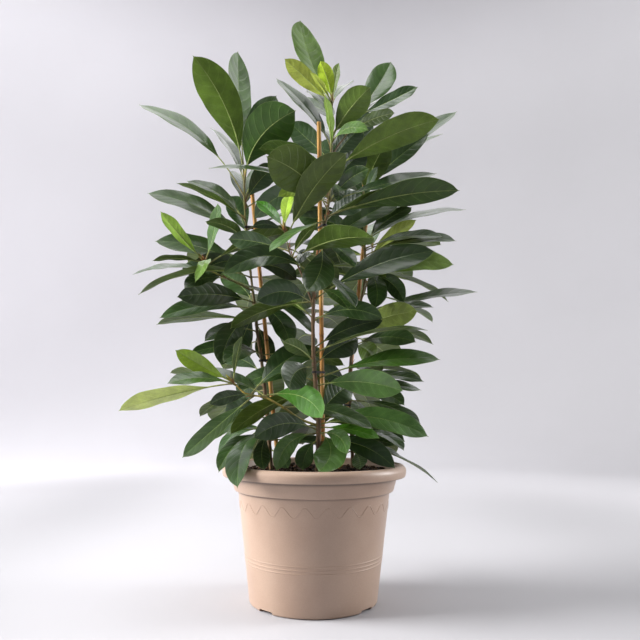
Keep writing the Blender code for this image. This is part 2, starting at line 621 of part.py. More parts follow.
def hidden_leaf(root, heading, pitch, length, roll, share):
    """A leaf that points along a heading, which droops a little under its weight."""
    along = Vector((math.cos(heading) * math.cos(pitch), math.sin(heading) * math.cos(pitch),
                    math.sin(pitch)))
    tip = root + along * length
    up = Vector((0.0, 0.0, 1.0))
    up = (up - up.dot(along) * along).normalized()
    control = (root + tip) / 2 + up * (BACK_ARCH * length)
    facing = Matrix.Rotation(roll, 3, along) @ up
    return Leaf(root, tip, control, facing, share * length / 2, STALK_SHARE)


def tip_shifts():
    """Depth changes to try, the smallest first: (tip, middle) in centimetres."""
    pairs = [(tip * TIP_STEP, middle * MIDDLE_STEP) for tip in range(-TIP_TRIES, TIP_TRIES + 1)
             for middle in range(-MIDDLE_TRIES, MIDDLE_TRIES + 1)]
    return sorted(pairs, key=lambda p: (abs(p[0]) + 0.7 * abs(p[1]), p))


def place_shown_leaves(shoots, crowd, leaves):
    shifts = tip_shifts()
    for name, rows in SHOWN_LEAVES.items():
        shoot = shoots[name]
        for row in rows:
            for tip_shift, control_shift in shifts:
                leaf = shown_leaf(shoot, row, tip_shift, control_shift)
                if leaf_is_clear(leaf, shoot.plant, crowd):
                    leaves[shoot.plant].append(leaf)
                    crowd.add(shoot.plant, "leaf", *leaf.mesh())
                    break


def place_hidden_leaves(shoots, crowd, leaves):
    for name, low, high, count, seed in HIDDEN_LEAVES:
        shoot = shoots[name]
        draw = random.Random(seed)
        for i in range(count):
            share = (i + 0.5) / count
            root = shoot.off_ties(shoot.at_height(low + (high - low) * share)[0])
            spread = (i * GOLDEN_RATIO) % 1.0 - 0.5
            heading = math.radians(90.0 + BACK_SPREAD * spread)
            pitch = BACK_PITCH + BACK_RISE * share ** 2.2 + draw.uniform(-BACK_DRAW, BACK_DRAW)
            pitch = math.radians(pitch)
            length = draw.uniform(*BACK_LENGTHS) - BACK_SHORTER * share ** 3
            roll = draw.uniform(-BACK_ROLL, BACK_ROLL)
            width = draw.uniform(*BACK_WIDTHS)
            for attempt in range(BACK_TRIES):
                turn = math.radians(TRY_TURN) * ((attempt + 1) // 2) * (-1) ** attempt
                tilt = math.radians(TRY_TILT) * ((attempt % 5) - 2)
                leaf = hidden_leaf(root, heading + turn, pitch + tilt, length, roll, width)
                if leaf_is_clear(leaf, shoot.plant, crowd):
                    leaves[shoot.plant].append(leaf)
                    crowd.add(shoot.plant, "leaf", *leaf.mesh())
                    break


def outer_profile():
    """The pot's outside from its foot to the top of its rim, as (r, z)."""
    slope = (BODY_TOP_R - BASE_R) / BODY_TOP_Z
    points = [(BASE_R - CORNER, 0.0), (BASE_R - 0.3 * CORNER, 0.3 * CORNER),
              (BASE_R + slope * CORNER, CORNER)]
    for z in RING_HEIGHTS:
        r = BASE_R + slope * z
        points += [(r - slope * RING_HALF, z - RING_HALF), (r + RING_PROUD, z),
                   (r + slope * RING_HALF, z + RING_HALF)]
    points += [(BODY_TOP_R, BODY_TOP_Z), (COLLAR_LOW_R - COLLAR_EDGE, BODY_TOP_Z),
               (COLLAR_LOW_R, BODY_TOP_Z + COLLAR_EDGE), (COLLAR_TOP_R, RIM_LOW_Z),
               (MOUTH_R + COLLAR_EDGE, RIM_TOP_Z - LIP), (RIM_R - LIP, RIM_TOP_Z - LIP),
               (RIM_R - LIP, RIM_LOW_Z), (RIM_R - RIM_EDGE, RIM_LOW_Z),
               (RIM_R, RIM_LOW_Z + 4 * RIM_EDGE), (RIM_R, RIM_TOP_Z - 4 * RIM_EDGE),
               (RIM_R - 1.5 * RIM_EDGE, RIM_TOP_Z - RIM_EDGE), (RIM_R - 4 * RIM_EDGE, RIM_TOP_Z)]
    return points


def inner_profile(inset=0.0):
    """The pot's inside from the floor up to under the mouth, inset for what fills it."""
    slope = (BODY_TOP_R - BASE_R) / BODY_TOP_Z
    floor = FLOOR_TOP_Z + inset
    return [(BASE_R + slope * floor - WALL - inset, floor),
            (BODY_TOP_R - WALL - inset, BODY_TOP_Z + INNER_STEP_LOW + inset),
            (COLLAR_LOW_R - WALL - inset, BODY_TOP_Z + INNER_STEP_HIGH + inset),
            (COLLAR_TOP_R - WALL - inset, RIM_LOW_Z)]


def make_pot(surface):
    under = [(0.0, 0.0), (PAD_R, 0.0), (PAD_R, FOOT_Z), (FOOT_IN_R, FOOT_Z), (FOOT_IN_R, 0.0)]
    mouth = [(MOUTH_R + MOUTH_EDGE, RIM_TOP_Z), (MOUTH_R - MOUTH_EDGE, RIM_TOP_Z - MOUTH_EDGE)]
    inside = inner_profile()[::-1]
    profile = under + outer_profile() + mouth + inside + [(0.0, FLOOR_TOP_Z)]
    pot = add_object("pot", *turned(profile), surface)
    apply_boolean(pot, [notch(i, a) for i, a in enumerate(NOTCH_AZIMUTHS)], "DIFFERENCE")
    apply_boolean(pot, [drain(i) for i in range(DRAINS)], "DIFFERENCE")
    smooth(pot)
    return pot


def notch(index, azimuth):
    """A cutter through the foot ring: a low arch with rounded top corners."""
    half = NOTCH_WIDTH / 2
    corner = NOTCH_CORNER
    arch = [(-half, -corner), (half, -corner), (half, NOTCH_HEIGHT - corner),
            (half - corner, NOTCH_HEIGHT), (corner - half, NOTCH_HEIGHT),
            (-half, NOTCH_HEIGHT - corner)]
    near = FOOT_IN_R - NOTCH_REACH_IN
    far = BASE_R + NOTCH_REACH_OUT
    verts = [Vector((x, y, z)) for y in (-near, -far) for x, z in arch]
    count = len(arch)
    faces = [list(range(count)), list(range(count, 2 * count))[::-1]]
    faces += [[i, (i + 1) % count, count + (i + 1) % count, count + i] for i in range(count)]
    turn = Matrix.Rotation(math.radians(azimuth), 4, "Z")
    return add_object(f"notch_{index}", [turn @ v for v in verts], faces)


def drain(index):
    angle = 2 * math.pi * (index + 0.5) / DRAINS
    x = DRAIN_CIRCLE_R * math.cos(angle)
    y = DRAIN_CIRCLE_R * math.sin(angle)
    route = [Vector((x, y, FOOT_Z - DRAIN_PAST)), Vector((x, y, FLOOR_TOP_Z + DRAIN_PAST))]
    return add_object(f"drain_{index}", *tube(route, [DRAIN_R] * 2, DRAIN_SIDES))


def cane_route(name):
    foot, top = (at_depth(*p) for p in CANES[name])
    along = (top - foot).normalized()
    foot = foot + along * ((CANE_FOOT_Z - foot.z) / along.z)
    return foot, top


def soil_edge(low):
    """The soil's radius at its top, where the pot flares from the low point to its mouth."""
    low_r, low_z = low
    high_r = MOUTH_R - MOUTH_EDGE - GAP
    high_z = RIM_TOP_Z - MOUTH_EDGE
    return low_r + (high_r - low_r) * (SOIL_TOP_Z - low_z) / (high_z - low_z)


def make_soil(surface, shoots):
    """Peat that fills the pot, with a lumpy top and plain holes for stems and canes."""
    draw = random.Random(SOIL_SEED)
    wall = inner_profile(GAP)
    edge_r = soil_edge(wall[-1])
    profile = [(0.0, FLOOR_TOP_Z + GAP)] + wall + [(edge_r, SOIL_TOP_Z)]
    profile += [(edge_r * share, SOIL_TOP_Z + SOIL_RISE * (1 - share)) for share in SOIL_RINGS]
    profile.append((0.0, SOIL_TOP_Z + SOIL_RISE))
    verts, faces = turned(profile)
    for v in verts:
        if v.z >= SOIL_TOP_Z and math.hypot(v.x, v.y) < SOIL_RINGS[0] * edge_r + GAP:
            v.z += draw.uniform(-SOIL_BUMP, SOIL_BUMP)
    soil = add_object("soil", verts, faces, surface)
    cutters = []
    for name in ("left", "middle", "right"):
        buried = sum(p.z < SOIL_TOP_Z + SOIL_RISE + SOIL_BUMP for p in shoots[name].route)
        route = shoots[name].route[:buried + 1]
        route[0] = route[0] - Vector((0.0, 0.0, GAP))
        radii = [r + GAP for r in shoots[name].radii[:len(route)]]
        cutters.append(add_object(f"hole_{name}", *tube(route, radii, STEM_SIDES)))
    for name in CANES:
        foot, top = cane_route(name)
        along = (top - foot).normalized()
        route = [foot - along * GAP, foot + along * (SOIL_TOP_Z - CANE_FOOT_Z + HOLE_PAST)]
        cutters.append(add_object(f"hole_{name}", *tube(route, [CANE_R + GAP] * 2, CANE_SIDES)))
    apply_boolean(soil, cutters, "DIFFERENCE")
    smooth(soil)
    return soil


def cane_mesh(name):
    return tube(list(cane_route(name)), [CANE_R] * 2, CANE_SIDES)


def tie_frame(cane, shoot, height):
    """The cane's middle at a height, its direction, the stem's middle and its radius."""
    foot, top = cane_route(cane)
    along = (top - foot).normalized()
    on_cane = foot + along * ((height - foot.z) / along.z)
    return on_cane, along, *shoot.at_height(height)


def tie_mesh(cane, shoot, height):
    """A flat band round the cane and the stem, square to the cane."""
    on_cane, along, on_stem, stem_r = tie_frame(cane, shoot, height)
    across = on_stem - on_cane
    across = across - across.dot(along) * along
    span = across.length
    across.normalize()
    other = along.cross(across)
    inner = []
    for centre, reach, start in ((0.0, CANE_R + GAP, 90.0), (span, stem_r + TIE_PLAY, -90.0)):
        for k in range(TIE_STEPS):
            angle = math.radians(start + 180.0 * k / (TIE_STEPS - 1))
            inner.append((centre + reach * math.cos(angle), reach * math.sin(angle),
                          math.cos(angle), math.sin(angle)))
    verts = []
    for level in (-TIE_HEIGHT / 2, TIE_HEIGHT / 2):
        for grow in (0.0, TIE_THICKNESS):
            for x, y, nx, ny in inner:
                verts.append(on_cane + across * (x + grow * nx) + other * (y + grow * ny)
                             + along * level)
    n = len(inner)
    faces = []
    for k in range(n):
        j = (k + 1) % n
        faces += [[k, j, n + j, n + k], [2 * n + k, 3 * n + k, 3 * n + j, 2 * n + j],
                  [k, 2 * n + k, 2 * n + j, j], [n + k, n + j, 3 * n + j, 3 * n + k]]
    return verts, faces


def make_plant(plant, shoots, leaves, surface):
    """One grown piece: the stem, its side shoots and its leaves, fused."""
    parts = [add_object(f"shoot_{i}", *s.mesh()) for i, s in enumerate(
        s for s in shoots.values() if s.plant == plant)]
    stem = parts[0]
    stem.name = plant
    stem.data.materials.append(surface)
    operands = parts[1:] + [add_object(f"leaf_{i}", *leaf.mesh())
                            for i, leaf in enumerate(leaves[plant])]
    apply_boolean(stem, operands, "UNION")
    stem.data.materials.clear()
    stem.data.materials.append(surface)
    smooth(stem)
    return stem


def build():
    clear_scene()
    pot_plastic = material("pot_plastic", (0.55, 0.40, 0.30), 0.45)
    peat = material("peat", (0.03, 0.018, 0.012), 0.95)
    bamboo = material("bamboo", (0.55, 0.30, 0.11), 0.55)
    band = material("band", (0.02, 0.018, 0.016), 0.6)
    foliage = material("foliage", (0.045, 0.13, 0.03), 0.35)

    shoots = {name: Shoot(name) for name in SHOOTS}
    crowd = Crowd()
    pot = make_pot(pot_plastic)
    crowd.add("pot", "pot", [v.co.copy() for v in pot.data.vertices],
              [list(p.vertices) for p in pot.data.polygons])
    soil = make_soil(peat, shoots)
    crowd.add("soil", "soil", [v.co.copy() for v in soil.data.vertices],
              [list(p.vertices) for p in soil.data.polygons])
    for name in CANES:
        verts, faces = cane_mesh(name)
        cane = add_object(name, verts, faces, bamboo)
        smooth(cane)
        crowd.add(name, "cane", verts, faces)
    for name, (cane, shoot, height) in TIES.items():
        verts, faces = tie_mesh(cane, shoots[shoot], height)
        add_object(name, verts, faces, band)
        crowd.add(name, "tie", verts, faces)
    for shoot in shoots.values():
        crowd.add(shoot.plant, "stem", *shoot.mesh())

    leaves = {"plant_left": [], "plant_middle": [], "plant_right": []}
    place_shown_leaves(shoots, crowd, leaves)
    place_hidden_leaves(shoots, crowd, leaves)
    for plant in leaves:
        make_plant(plant, shoots, leaves, foliage)


build()
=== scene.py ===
"""The looks of the potted ficus: fine leaves, stems, canes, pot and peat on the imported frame.

Metres, +Z up, the front faces -Y. The leaves stand where the solids' own rule puts them.
"""
import json
import math
import random

import bmesh
import bpy
from mathutils import Matrix, Vector, noise
from mathutils.bvhtree import BVHTree

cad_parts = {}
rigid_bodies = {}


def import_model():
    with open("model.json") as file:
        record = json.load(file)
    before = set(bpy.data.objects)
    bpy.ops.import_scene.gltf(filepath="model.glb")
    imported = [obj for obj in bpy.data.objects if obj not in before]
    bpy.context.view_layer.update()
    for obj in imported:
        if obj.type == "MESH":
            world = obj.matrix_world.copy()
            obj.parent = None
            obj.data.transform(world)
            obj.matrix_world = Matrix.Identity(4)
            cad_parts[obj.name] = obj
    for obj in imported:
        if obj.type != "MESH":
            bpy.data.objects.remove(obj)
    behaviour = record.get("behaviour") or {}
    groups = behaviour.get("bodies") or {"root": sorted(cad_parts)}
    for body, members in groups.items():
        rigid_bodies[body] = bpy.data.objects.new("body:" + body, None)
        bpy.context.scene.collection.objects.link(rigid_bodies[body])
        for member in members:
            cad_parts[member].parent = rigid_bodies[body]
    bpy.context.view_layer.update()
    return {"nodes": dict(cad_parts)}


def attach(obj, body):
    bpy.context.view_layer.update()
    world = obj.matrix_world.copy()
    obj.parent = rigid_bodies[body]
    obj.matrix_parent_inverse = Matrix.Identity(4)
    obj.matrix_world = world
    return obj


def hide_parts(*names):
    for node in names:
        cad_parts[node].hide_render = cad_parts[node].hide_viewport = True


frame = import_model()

# The pot, radii and heights
POT_SIDES = 192
BASE_R = 0.1087
BODY_TOP_R = 0.1316
BODY_TOP_Z = 0.184
COLLAR_LOW_R = 0.1384
COLLAR_TOP_R = 0.1448
RIM_LOW_Z = 0.209
RIM_TOP_Z = 0.2276
RIM_R = 0.160
MOUTH_R = 0.1465
WALL = 0.003
LIP = 0.003
COLLAR_EDGE = 0.0015
RIM_ROLL_TOP = 0.0058
RIM_ROLL_LOW = 0.0016
RIM_STEPS = 16
# How far above a step the painted shade below it fades out
PAINTED_SHADE_FADE = 0.0015
MOUTH_EDGE = 0.0018
INNER_STEP_LOW = 0.0015
INNER_STEP_HIGH = 0.0039
FOOT_Z = 0.0058
FLOOR_TOP_Z = 0.0088
FOOT_IN_R = 0.099
PAD_R = 0.026
CORNER = 0.0025
RING_HEIGHTS = (0.0685, 0.0740, 0.0800)
RING_HALF = 0.0011
RING_PROUD = 0.0006
NOTCH_WIDTH = 0.031
NOTCH_HEIGHT = 0.005
NOTCH_CORNER = 0.002
NOTCH_REACH_IN = 0.012
NOTCH_REACH_OUT = 0.004
NOTCH_AZIMUTHS = (-44.0, 53.0, 136.0, -127.0)
DRAIN_R = 0.0045
DRAIN_CIRCLE_R = 0.068
DRAINS = 6
DRAIN_SIDES = 8
DRAIN_PAST = 0.002
EDGE_ROUND = 0.0009

# The zigzag moulded round the pot
ZIGZAGS = 22
ZIGZAG_TOP_Z = 0.1694
ZIGZAG_LOW_Z = 0.1545
ZIGZAG_TOP_AZIMUTH = -6.0
ZIGZAG_FLAT_SHARE = 0.16
ZIGZAG_HALF = 0.0009
ZIGZAG_PROUD = 0.0005
ZIGZAG_SUNK = 0.0006
ZIGZAG_STEPS = 12

# The soil and what stands in it
GAP = 0.0003
SOIL_TOP_Z = 0.213
CANE_R = 0.0040
CANE_SIDES = 10
CANE_FOOT_Z = 0.060
STEM_FOOT_Z = 0.130
STEM_SIDES = 6
TIP_TAPER = 0.45
TIE_HEIGHT = 0.0035
TIE_THICKNESS = 0.0012
TIE_PLAY = 0.0007
TIE_ROOM = 0.008
CRUMBS = 1500
SOIL_FINE_RINGS = 56
SOIL_FINE_SIDES = 150

# The eye from which the plants' sheet coordinates are read
VIEW_POINT = Vector((0.0084, -1.1495, 0.3243))
CM = 0.01

CAMERA_PITCH = 0.1368
CAMERA_ROLL = 0.0063

# Leaves
LEAF_THICKNESS = 0.0022
STALK_R = 0.0015
STALK_SHARE = 0.15
FOLD = 0.16
TRUE_WIDTH_SHARE = 0.31
OUTLINE_RISE = 1.15
OUTLINE_FALL = 0.70
OUTLINE_PEAK = OUTLINE_RISE / (OUTLINE_RISE + OUTLINE_FALL)
OUTLINE_SCALE = 1.03 / (OUTLINE_PEAK ** OUTLINE_RISE * (1.0 - OUTLINE_PEAK) ** OUTLINE_FALL)
CLEARANCE = 0.0016
LONG_LEAF = 0.19
FIRST_SHARE = 0.75
BLADE_START = 0.04

# Where a shown leaf's tip and middle are tried along the line of sight, in centimetres
TIP_STEP = 1.1
TIP_TRIES = 7
MIDDLE_STEP = 1.6
MIDDLE_TRIES = 3

# The leaves that fill the back: angles in degrees, lengths in metres, widths as shares
GOLDEN_RATIO = 0.618034
BACK_SPREAD = 180.0
BACK_PITCH = -14.0
BACK_RISE = 72.0
BACK_DRAW = 8.0
BACK_LENGTHS = (0.140, 0.205)
BACK_SHORTER = 0.030
BACK_ROLL = 0.5
BACK_WIDTHS = (0.31, 0.38)
BACK_ARCH = 0.16
BACK_TRIES = 24
TRY_TURN = 6.0
TRY_TILT = 7.0

# Fine blades: points along and across, and the shape of their section
BLADE_ROWS = 30
BLADE_ACROSS = (-1.0, -0.93, -0.74, -0.50, -0.26, -0.08, 0.0, 0.08, 0.26, 0.50, 0.74, 0.93, 1.0)
BLADE_HALF_THICK = 0.00042
EDGE_HALF_THICK = 0.00016
RIB_GROOVE = 0.00035
WAVE = 0.0011
TIP_SHARE = 0.975
TIP_HALF = 0.0011
MIDRIB_SIDES = 8
MIDRIB_ROWS = 16
VEIN_PAIRS = 9

# Colours in sRGB, each as (upper face, under face)
TONES = {
    "dark": ((41, 65, 27), (82, 104, 38)),
    "mid": ((60, 92, 31), (90, 114, 37)),
    "deep": ((44, 74, 22), (54, 84, 18)),
    "grass": ((70, 104, 46), (88, 114, 52)),
    "moss": ((88, 120, 38), (106, 132, 42)),
    "olive": ((108, 124, 56), (120, 134, 60)),
    "light": ((120, 146, 60), (148, 170, 82)),
    "fresh": ((122, 156, 38), (128, 160, 44)),
    "bright": ((66, 118, 28), (100, 144, 40)),
    "lime": ((142, 172, 52), (178, 200, 84)),
    "pale": ((114, 138, 60), (174, 192, 100)),
    "vivid": ((136, 174, 44), (190, 222, 66)),
}

# Leaves whose tone isn't dark, by their tip on the sheet
LEAF_TONES = {
    (-28.9, 68.4): "fresh", (-22.0, 55.0): "moss", (-18.3, 70.0): "mid",
    (-7.2, 71.4): "lime", (-4.8, 72.5): "lime", (-11.2, 70.5): "bright",
    (-25.2, 42.6): "vivid", (-34.9, 31.7): "pale", (1.4, 30.6): "bright",
    (-26.4, 36.6): "mid", (-6.3, 98.9): "lime", (0.6, 98.5): "vivid", (-1.3, 96.2): "lime",
    (4.2, 98.1): "moss", (1.4, 91.4): "mid", (9.8, 84.5): "mid",
    (18.6, 67.1): "lime", (18.6, 49.9): "olive", (25.4, 58.6): "light",
    (10.8, 40.6): "moss", (11.5, 27.2): "bright", (5.8, 24.4): "mid",
    (15.8, 35.5): "grass", (20.2, 27.5): "grass", (22.5, 41.2): "mid",
    (0.7, 21.3): "grass", (-6.6, 21.4): "grass", (-2.0, 21.6): "mid",
    (-3.4, 106.9): "moss", (-15.3, 100.4): "mid", (-33.8, 89.3): "mid",
    (-24.0, 99.5): "moss", (-3.9, 88.4): "deep", (-9.5, 79.2): "mid",
    (23.4, 86.8): "moss", (26.8, 72.8): "deep", (14.2, 98.4): "mid",
    (-8.6, 60.8): "mid", (10.2, 93.2): "mid",
}

# Stem colours in sRGB at the foot and at the tip; a shoot that isn't named takes the left one's
STEM_TONES = {
    "left": ((104, 82, 58), (98, 102, 50)),
    "left_branch": ((112, 104, 56), (138, 140, 60)),
    "low_branch": ((140, 128, 60), (196, 166, 76)),
}

# Straight canes: foot and top as (x, z, y) on the sheet, in centimetres
CANES = {
    "cane_left": ((-6.1, 20.5, 4.6), (-12.0, 72.5, 5.0)),
    "cane_middle": ((1.6, 20.5, -4.8), (0.4, 86.0, -5.0)),
    "cane_right": ((4.4, 20.5, 6.6), (9.4, 68.0, 7.0)),
}

# Shoots: plant, radius at foot and tip in millimetres, points (x, z, y) on the sheet in centimetres
SHOOTS = {
    "left": ("plant_left", 3.6, 1.2, (
        (-7.5, 20.5, 3.3), (-8.3, 30.0, 3.3), (-9.5, 40.0, 3.4), (-10.5, 46.0, 3.5),
        (-10.9, 50.0, 3.5), (-11.8, 56.0, 3.6), (-13.0, 66.0, 3.7), (-13.4, 72.0, 3.7),
        (-13.3, 75.5, 3.6))),
    "left_branch": ("plant_left", 2.0, 0.9, (
        (-11.4, 53.5, 3.5), (-14.6, 55.1, 2.0), (-17.0, 56.1, 0.6), (-19.1, 57.3, -0.6),
        (-20.6, 59.2, -1.6))),
    "middle": ("plant_middle", 3.9, 1.3, (
        (0.5, 20.5, -6.1), (0.7, 29.0, -6.2), (0.2, 36.0, -6.3), (-0.3, 42.0, -6.3),
        (-0.4, 50.0, -6.3), (-0.1, 57.0, -6.5), (0.5, 62.0, -6.7), (1.7, 66.5, -6.7),
        (2.4, 71.0, -6.3), (2.8, 78.0, -5.9), (2.7, 84.0, -5.9), (2.9, 90.5, -6.0))),
    "middle_branch": ("plant_middle", 1.9, 0.9, (
        (-0.4, 51.0, -6.3), (-3.1, 57.9, -7.2), (-4.8, 60.7, -7.7), (-5.8, 65.2, -8.2))),
    "low_branch": ("plant_middle", 2.2, 1.0, (
        (0.7, 29.3, -6.2), (-2.6, 30.5, -7.6), (-5.1, 32.2, -8.6), (-8.8, 34.2, -9.6),
        (-12.3, 34.9, -10.4), (-14.7, 37.0, -11.0))),
    "top_branch": ("plant_middle", 2.0, 1.0, (
        (2.8, 79.5, -5.9), (4.2, 81.6, -5.3), (5.7, 83.8, -5.0), (7.4, 87.6, -5.0))),
    "right": ("plant_right", 3.6, 1.2, (
        (6.6, 20.5, 5.2), (6.7, 25.0, 5.2), (6.3, 34.0, 5.2), (6.5, 42.0, 5.2),
        (7.6, 49.0, 5.2), (8.9, 55.0, 5.3), (9.0, 62.0, 5.4), (8.8, 70.0, 5.3),
        (8.6, 76.5, 5.2))),
    "right_branch": ("plant_right", 2.0, 0.9, (
        (8.3, 52.5, 5.3), (9.6, 55.5, 8.6), (10.2, 58.5, 11.4), (10.4, 62.0, 13.6))),
}

# Ties: cane, shoot, height in metres
TIES = {
    "tie_left_low": ("cane_left", "left", 0.412),
    "tie_left_high": ("cane_left", "left", 0.668),
    "tie_middle_low": ("cane_middle", "middle", 0.385),
    "tie_middle_high": ("cane_middle", "middle", 0.640),
    "tie_right_low": ("cane_right", "right", 0.330),
    "tie_right_high": ("cane_right", "right", 0.590),
}

